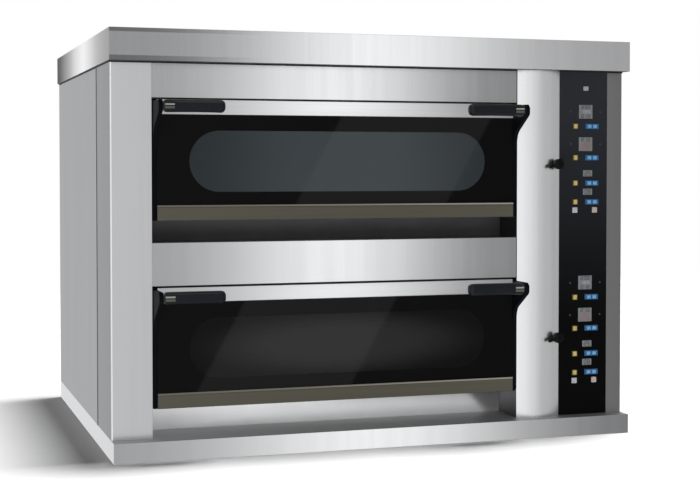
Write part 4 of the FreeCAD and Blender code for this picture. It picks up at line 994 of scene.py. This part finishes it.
def digitInto(work, digit, x, z, front, wide, tall, material):
    stroke = displayShape["stroke"]
    spans = {"a": (0, 1, 1, 1), "g": (0, 1, 0.5, 0.5), "d": (0, 1, 0, 0),
             "f": (0, 0, 0.5, 1), "b": (1, 1, 0.5, 1), "e": (0, 0, 0, 0.5), "c": (1, 1, 0, 0.5)}
    for segment in segmentsOf[digit]:
        x0, x1, z0, z1 = spans[segment]
        low = (x + x0 * wide - stroke / 2, front - displayShape["relief"], z + z0 * tall - stroke / 2)
        high = (x + x1 * wide + stroke / 2, front + 0.0005, z + z1 * tall + stroke / 2)
        boxInto(work, low, high, material)


def makeDisplays():
    low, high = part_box("control_fascia")
    front = low.y
    face, frameWork, digits = bmesh.new(), bmesh.new(), bmesh.new()
    for deck in decks:
        for row, (x, rise, wide, tall) in displaySpots.items():
            z = panelMiddle[deck] + rise
            half, halfTall = wide / 2 - 0.0002, tall / 2 - 0.0002
            bezel = displayShape["bezel"]
            boxInto(frameWork, (x - half, front + 0.0006, z - halfTall),
                    (x + half, front + 0.0158, z + halfTall))
            boxInto(face, (x - half + bezel, front - 0.0001, z - halfTall + bezel),
                    (x + half - bezel, front + 0.004, z + halfTall - bezel))
            lines = readings[row]
            digitWide, digitTall = displayShape["wide"][len(lines)], displayShape["tall"][len(lines)]
            stepX = digitWide + displayShape["gap"]
            for i, (line, finish) in enumerate(lines):
                startX = x - (len(line) * stepX - displayShape["gap"]) / 2
                base = z + ((len(lines) - 1) / 2 - i) * displayShape["rowStep"] - digitTall / 2
                for k, digit in enumerate(line):
                    digitInto(digits, digit, startX + k * stepX, base, front - 0.0001,
                              digitWide, digitTall, finish)
        boardZ = panelMiddle[deck]
        boxInto(frameWork, (0.484, front + 0.0158, boardZ - 0.15), (0.5975, front + 0.0173, boardZ + 0.15), 1)
    for name, work, materialNames, width in (("displayFaces", face, ["displayFace"], 0.0003),
                                             ("displayBlocks", frameWork, ["fascia", "board"], 0.0003)):
        mesh = meshFrom(name, work)
        piece = addObject(name, mesh, *materialNames)
        roundEdges(piece, width, 1)
        settle(piece, "oven_body", ["display_modules"])
    mesh = meshFrom("displayDigits", digits)
    piece = addObject("displayDigits", mesh, "digit", "redDigit", "coolDigit")
    settle(piece, "oven_body")


lensSpots = {"left": 0.506, "apart": 0.083, "rise": 0.0445, "rowsApart": 0.0815, "steps": 20}
indicatorShape = {"x": 0.5475, "z": 0.870, "wide": 0.0136, "tall": 0.0106, "rounding": 0.002, "edge": 0.0006,
                  "proud": 0.001, "sunk": 0.006}


def makeLenses():
    # small round lenses beside the two larger displays, and the bright indicator at the top
    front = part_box("control_fascia")[0].y
    profile = [(front + 0.001, 0.0028), (front - 0.0002, 0.0028), (front - 0.0008, 0.0021),
               (front - 0.0011, 0.0008)]
    for deck in decks:
        item = bpy.data.objects.new("lensItem", turned("lensItem", profile, lensSpots["steps"]))
        bpy.context.scene.collection.objects.link(item)
        start = (lensSpots["left"], 0, panelMiddle[deck] + lensSpots["rise"])
        lenses = repeatItem(deck + "_lenses", item, start, 2,
                            (lensSpots["apart"], 0, 0), 2, (0, 0, lensSpots["rowsApart"]), "lens")
        settle(lenses, "oven_body")
    x, z = indicatorShape["x"], indicatorShape["z"]
    halfWide, halfTall = indicatorShape["wide"] / 2, indicatorShape["tall"] / 2
    outline = roundedRectangle((x - halfWide, z - halfTall), (x + halfWide, z + halfTall),
                               indicatorShape["rounding"])
    spot = slab("indicatorLens", [outline], front - indicatorShape["proud"], front + indicatorShape["sunk"],
                indicatorShape["edge"], "brightLens")
    settle(spot, "oven_body", ["display_modules"])


for deck in decks:
    for row in keyRows:
        makeKey(f"{deck}_{row}_key", "yellowKey", True)
        makeRocker(f"{deck}_{row}_rocker")
    makeKey(deck + "_lamp_key", "whiteKey")
    makeKey(deck + "_power_key", "paleKey")
makeDisplays()
makeLenses()
print("controls finished")


# baking chambers and everything else inside

sealShape = {"radius": 0.0028, "strands": 3, "turnsPerMetre": 26, "stepLength": 0.004}


def makeRopeTree():
    # a twisted rope along a closed rectangle with rounded corners
    tree, given, result = geometryTree("sealRope", [
        ("Width", "Float"), ("Height", "Float"), ("Centre", "Vector"), ("Strand radius", "Float"),
        ("Twist", "Float"), ("Step", "Float"), ("Finish", "Material")])
    add, link = tree.nodes.new, tree.links.new
    shape = add("GeometryNodeCurvePrimitiveQuadrilateral")
    link(given.outputs["Width"], shape.inputs["Width"])
    link(given.outputs["Height"], shape.inputs["Height"])
    corner = add("GeometryNodeFilletCurve")
    corner.mode = "POLY"
    corner.inputs["Radius"].default_value = 0.008
    corner.inputs["Count"].default_value = 6
    link(shape.outputs["Curve"], corner.inputs["Curve"])
    stand = add("GeometryNodeTransform")
    stand.inputs["Rotation"].default_value = (math.pi / 2, 0, 0)
    link(corner.outputs["Curve"], stand.inputs["Geometry"])
    link(given.outputs["Centre"], stand.inputs["Translation"])
    even = add("GeometryNodeResampleCurve")
    even.mode = "LENGTH"
    link(stand.outputs["Geometry"], even.inputs["Curve"])
    link(given.outputs["Step"], even.inputs["Length"])
    along = add("GeometryNodeSplineParameter")
    twist = add("ShaderNodeMath")
    twist.operation = "MULTIPLY"
    link(along.outputs["Factor"], twist.inputs[0])
    link(given.outputs["Twist"], twist.inputs[1])
    tilt = add("GeometryNodeSetCurveTilt")
    link(even.outputs["Curve"], tilt.inputs["Curve"])
    link(twist.outputs["Value"], tilt.inputs["Tilt"])
    circle = add("GeometryNodeCurvePrimitiveCircle")
    circle.inputs["Resolution"].default_value = 18
    link(given.outputs["Strand radius"], circle.inputs["Radius"])
    # lobes: the profile's radius swings three times round
    position = add("GeometryNodeInputPosition")
    index = add("GeometryNodeSplineParameter")
    swing, wave, size = add("ShaderNodeMath"), add("ShaderNodeMath"), add("ShaderNodeMath")
    swing.operation = "MULTIPLY"
    swing.inputs[1].default_value = 2 * math.pi * sealShape["strands"]
    wave.operation = "SINE"
    size.operation = "MULTIPLY_ADD"
    size.inputs[1].default_value = 0.16
    size.inputs[2].default_value = 0.84
    link(index.outputs["Factor"], swing.inputs[0])
    link(swing.outputs["Value"], wave.inputs[0])
    link(wave.outputs["Value"], size.inputs[0])
    scaled = add("ShaderNodeVectorMath")
    scaled.operation = "SCALE"
    link(position.outputs["Position"], scaled.inputs[0])
    link(size.outputs["Value"], scaled.inputs["Scale"])
    lobed = add("GeometryNodeSetPosition")
    link(circle.outputs["Curve"], lobed.inputs["Geometry"])
    link(scaled.outputs["Vector"], lobed.inputs["Position"])
    tube = add("GeometryNodeCurveToMesh")
    link(tilt.outputs["Curve"], tube.inputs["Curve"])
    link(lobed.outputs["Geometry"], tube.inputs["Profile Curve"])
    real, finish = add("GeometryNodeRealizeInstances"), add("GeometryNodeSetMaterial")
    link(tube.outputs["Mesh"], real.inputs["Geometry"])
    link(real.outputs["Geometry"], finish.inputs["Geometry"])
    link(given.outputs["Finish"], finish.inputs["Material"])
    link(finish.outputs["Geometry"], result.inputs["Geometry"])
    return tree


ropeTree = makeRopeTree()


def makeSeals():
    low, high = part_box("door_gaskets")
    thick = high.y - low.y
    for deck in decks:
        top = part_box(deck + "_door_top_rail")[1].z
        mouthTop, mouthLow = top - 0.058, top - 0.058 - 0.167
        offset = 0.006 + 0.005
        wide = high.x - low.x - 0.010
        tall = mouthTop - mouthLow + 2 * offset
        middle = ((low.x + high.x) / 2, (low.y + high.y) / 2, (mouthTop + mouthLow) / 2)
        length = 2 * (wide + tall)
        rope = runTree(deck + "_sealRope", ropeTree, {
            "Width": wide, "Height": tall, "Centre": middle, "Strand radius": thick / 2 - 0.0001,
            "Twist": 2 * math.pi * round(sealShape["turnsPerMetre"] * length),
            "Step": sealShape["stepLength"],
            "Finish": finishes["rope"]}, ["rope"])
        for face in rope.data.polygons:
            face.use_smooth = True
        settle(rope, "oven_body", ["door_gaskets"])


makeSeals()
plainFinishes = {
    "upper_chamber": "chamberSteel", "lower_chamber": "chamberSteel", "insulation_blocks": "wool",
    "heating_elements": "heater", "flue_ducts": "galvanised", "hinge_brackets": "bearing",
    "switchgear": "switchPlastic",
}
for nodeName, materialName in plainFinishes.items():
    paint(nodeName, materialName)
refine("hearth_plates", "stone", 0.002, 2)
refine("chamber_lamps", "lampGlass", 0.002, 3)
refine("cable_gland", "gland", 0.001, 2)
print("inside finished")


# floor, light and camera

studio = {
    "floorSize": 8.0, "floorTone": (0.86, 0.86, 0.86), "worldGlow": 1.0, "worldFill": 0.14,
    # brightness of the surroundings by direction: degrees from the front towards the right
    "surroundings": [(-180, 0.95), (-90, 0.66), (-30, 0.80), (4, 0.56), (11, 0.50), (20, 0.36),
                     (26, 0.25), (45, 0.25), (75, 0.36), (110, 0.5), (180, 0.95)],
}
cameraSettings = {"place": (-1.1377, -3.7735, 0.6699), "yaw": 17.9, "pitch": 1.67, "lens": 74.2,
                  "shiftY": -0.0571}


def makeFloor():
    half = studio["floorSize"] / 2
    mesh = bpy.data.meshes.new("floor")
    corners = [(-half, -half, 0), (half, -half, 0), (half, half, 0), (-half, half, 0)]
    mesh.from_pydata(corners, [], [(0, 1, 2, 3)])
    finishes["floorPaint"] = coated("floorPaint", studio["floorTone"], 0.9, gloss=0.0, shift=0.01)
    floor = addObject("floor", mesh, "floorPaint")
    floor.visible_glossy = False
    floor.visible_shadow = False
    return floor


def makeWorld():
    world = bpy.data.worlds.new("studioWorld")
    bpy.context.scene.world = world
    world.use_nodes = True
    tree = world.node_tree
    tree.nodes.clear()
    add, link = tree.nodes.new, tree.links.new
    place, parts = add("ShaderNodeTexCoord"), add("ShaderNodeSeparateXYZ")
    link(place.outputs["Generated"], parts.inputs["Vector"])
    angle = mathNode(tree, "ARCTAN2", parts.outputs["X"], mathNode(tree, "MULTIPLY", parts.outputs["Y"], -1))
    share = mathNode(tree, "MULTIPLY_ADD", angle, 1 / (2 * math.pi), 0.5)
    ramp = add("ShaderNodeValToRGB")
    stops = ramp.color_ramp.elements
    while len(stops) > 1:
        stops.remove(stops[-1])
    for i, (degrees, tone) in enumerate(studio["surroundings"]):
        stop = stops[0] if i == 0 else stops.new(degrees / 360 + 0.5)
        stop.position = degrees / 360 + 0.5
        stop.color = (tone, tone, tone * 1.01, 1)
    link(share, ramp.inputs["Fac"])
    seen, white, mix, out = (add("ShaderNodeLightPath"), add("ShaderNodeBackground"),
                             add("ShaderNodeMixShader"), add("ShaderNodeOutputWorld"))
    around, fill = add("ShaderNodeBackground"), add("ShaderNodeBackground")
    reflected = add("ShaderNodeMixShader")
    link(ramp.outputs["Color"], around.inputs["Color"])
    around.inputs["Strength"].default_value = studio["worldGlow"]
    link(ramp.outputs["Color"], fill.inputs["Color"])
    fill.inputs["Strength"].default_value = studio["worldGlow"] * studio["worldFill"]
    link(seen.outputs["Is Diffuse Ray"], reflected.inputs["Fac"])
    link(around.outputs["Background"], reflected.inputs[1])
    link(fill.outputs["Background"], reflected.inputs[2])
    link(seen.outputs["Is Camera Ray"], mix.inputs["Fac"])
    link(reflected.outputs["Shader"], mix.inputs[1])
    link(white.outputs["Background"], mix.inputs[2])
    white.inputs["Color"].default_value = (1, 1, 1, 1)
    link(mix.outputs["Shader"], out.inputs["Surface"])


def addLight(name, place, target, wide, tall, watts, roll=0.0, lit=None, unshaded=False):
    # a soft box; where lit is given it reaches only those objects, and unshaded keeps the rest from
    # shading them
    data = bpy.data.lights.new(name, "AREA")
    data.shape = "RECTANGLE"
    data.size, data.size_y = wide, tall
    data.energy = watts
    light = bpy.data.objects.new(name, data)
    bpy.context.scene.collection.objects.link(light)
    aim = (Vector(target) - Vector(place)).to_track_quat("-Z", "Y").to_matrix().to_4x4()
    light.matrix_world = Matrix.Translation(place) @ aim @ Matrix.Rotation(math.radians(roll), 4, "Z")
    light.visible_camera = False
    if lit:
        group = bpy.data.collections.new(name + "Lit")
        for thing in lit:
            group.objects.link(thing)
        light.light_linking.receiver_collection = group
        if unshaded:
            light.light_linking.blocker_collection = group
    return light


def boxByBearing(name, bearing, distance, height, wide, tall, radiance, roll=0.0, lit=None):
    # placed on a circle round the front's middle; bearing is in degrees from the front towards the right
    middle = Vector((-0.1, -0.49, height))
    place = middle + distance * Vector((math.sin(math.radians(bearing)), -math.cos(math.radians(bearing)), 0))
    watts = radiance * math.pi * wide * tall
    return addLight(name, place, middle, wide, tall, watts, roll, lit)


def sweepBox(name, sweep, lit):
    # a flat soft box with one bright band, placed where the sheet mirrors it to the camera
    # at is the band's place along the sheet, 0 at its left end, 1 at its right and more beyond it
    # rise and fall are the widths of its two slopes, in shares of the sheet's width
    corners = [Vector(corner) for thing in lit for corner in thing.bound_box]
    left, right = min(corner.x for corner in corners), max(corner.x for corner in corners)
    front = min(corner.y for corner in corners)
    middle, wide, tall = Vector(frontSweep["middle"]), frontSweep["wide"], frontSweep["tall"]
    eyeX, eyeY = cameraSettings["place"][:2]
    onSheet = left + sweep["at"] * (right - left)
    reach = (front - middle.y) / (front - eyeY)
    centre = (onSheet + (onSheet - eyeX) * reach - middle.x) / wide + 0.5
    share = (right - left) * (1 + reach) / wide
    light = addLight(name, middle, middle + Vector((0, 1, 0)), wide, tall,
                     sweep["strength"] * math.pi * wide * tall, lit=lit, unshaded=sweep["unshaded"])
    light.data.use_nodes = True
    tree = light.data.node_tree
    emission = next(node for node in tree.nodes if node.type == "EMISSION")
    place, parts = tree.nodes.new("ShaderNodeNewGeometry"), tree.nodes.new("ShaderNodeSeparateXYZ")
    tree.links.new(place.outputs["Parametric"], parts.inputs["Vector"])
    along = parts.outputs["X"]
    rising = easeBetween(tree, along, centre - sweep["rise"] * share, centre, 0, 1)
    falling = easeBetween(tree, along, centre, centre + sweep["fall"] * share, 1, sweep["after"])
    tree.links.new(mathNode(tree, "MULTIPLY", rising, falling), emission.inputs["Strength"])
    return light


shown = {thing.name: thing for thing in bpy.context.scene.objects if thing.type == "MESH"}
for name, thing in shown.items():
    if "_grip" in name or "side_plates" in name:
        thing.visible_glossy = False
glassPieces = [thing for name, thing in shown.items() if "glassBorder" in name or "glassWindow" in name]
floor = makeFloor()
makeWorld()

frontSweep = {"middle": (1.65, -4.49, 0.6), "wide": 6.3, "tall": 5.0}
band = {"at": 0.5, "rise": 0.4, "fall": 0.4, "after": 0.0, "unshaded": False}
sweeps = {
    "cap": {**band, "parts": ["top_cap"], "strength": 1.45, "at": 0.48, "rise": 0.3, "fall": 0.35,
            "after": 0.2},
    "panels": {**band, "parts": ["header_panel", "middle_panel"], "strength": 1.5, "fall": 0.35},
    "plinth": {**band, "parts": ["plinth_frame"], "strength": 1.4, "rise": 0.45},
    "rails": {**band, "parts": ["door_top_rail"], "strength": 1.25},
    "kick": {**band, "parts": ["kick_panel"], "strength": 1.2, "rise": 2.0, "fall": 2.0, "unshaded": True},
    "lip": {**band, "parts": ["railLip"], "strength": 1.6, "at": 1.3, "rise": 1.0, "fall": 1.0},
    "bronze": {**band, "parts": ["door_bottom_rail"], "strength": 0.4, "at": 1.6, "rise": 1.0, "fall": 1.0},
}
for name, sweep in sweeps.items():
    lit = [thing for label, thing in shown.items() if any(part in label for part in sweep["parts"])]
    sweepBox(name + "Sweep", sweep, lit)

# a fan of tall boxes, side by side round the bowed cover: brightest at the left, and fading to the right
# like a quarter ellipse that would reach nothing fadeOver degrees away
tallBox = {"distance": 3.5, "height": 0.6, "tall": 4.0}
columnFan = {"boxes": 6, "from": -60, "step": 27, "fadeOver": 150, "brightest": 0.56}
fanWide = 2 * tallBox["distance"] * math.sin(math.radians(columnFan["step"] / 2))
for i in range(columnFan["boxes"]):
    turn = i * columnFan["step"]
    fade = math.sqrt(1 - (turn / columnFan["fadeOver"]) ** 2)
    boxByBearing(f"columnBox{i}", columnFan["from"] + turn, tallBox["distance"], tallBox["height"], fanWide,
                 tallBox["tall"], columnFan["brightest"] * fade, lit=[shown["column_cover_finished"]])
postFan = {"wide": 1.2, "bend": (-50, 0.8), "face": (8, 0.2)}
for name in ("bend", "face"):
    bearing, radiance = postFan[name]
    boxByBearing(name + "Box", bearing, tallBox["distance"], tallBox["height"], postFan["wide"],
                 tallBox["tall"], radiance, lit=[shown["left_front_post_finished"]])

# a slanted soft box that only the door glass mirrors
eye = Vector(cameraSettings["place"])
mirrored = Vector((eye.x, -2 * 0.49 - eye.y, eye.z))
heading = math.radians(cameraSettings["yaw"])
dip = math.tan(math.radians(cameraSettings["pitch"]))
ahead = Vector((math.sin(heading), -math.cos(heading), -dip)).normalized()
toRight = Vector((math.cos(heading), math.sin(heading), 0))
glassBox = {"distance": 5.95, "right": -0.035, "down": 0.206, "wide": 0.548, "long": 2.4, "lean": -27.7,
            "radiance": 1.0}
spot = mirrored + ahead * glassBox["distance"] + toRight * glassBox["right"]
spot.z -= glassBox["down"]
addLight("glassBand", spot, spot - ahead, glassBox["wide"], glassBox["long"],
         glassBox["radiance"] * math.pi * glassBox["wide"] * glassBox["long"], glassBox["lean"], glassPieces)

# the high soft box that throws the shadow to the left, and one overhead for the top edges of the trim
floorLight = {"place": (3.1, 0.7, 20.0), "wide": 5.6, "deep": 4.0, "radiance": 80.0}
addLight("floorBox", floorLight["place"], (*floorLight["place"][:2], 0.0),
         floorLight["wide"], floorLight["deep"],
         floorLight["radiance"] * math.pi * floorLight["wide"] * floorLight["deep"], 0.0, [floor])
trim = [thing for name, thing in shown.items() if "bottom_rail" in name or "grip" in name]
trimLight = {"place": (-0.3, -1.4, 3.0), "target": (-0.1, -0.5, 0.6), "wide": 2.5, "deep": 0.8,
             "radiance": 2.0}
addLight("trimBox", trimLight["place"], trimLight["target"], trimLight["wide"], trimLight["deep"],
         trimLight["radiance"] * math.pi * trimLight["wide"] * trimLight["deep"], 0.0, trim)

cameraData = bpy.data.cameras.new("viewCamera")
cameraData.lens = cameraSettings["lens"]
cameraData.sensor_width = 36
cameraData.shift_y = cameraSettings["shiftY"]
camera = bpy.data.objects.new("viewCamera", cameraData)
bpy.context.scene.collection.objects.link(camera)
camera.location = cameraSettings["place"]
camera.rotation_euler = (math.radians(90 - cameraSettings["pitch"]), 0, math.radians(-cameraSettings["yaw"]))
bpy.context.scene.camera = camera
bpy.context.scene.view_settings.view_transform = "Standard"
print("studio ready")
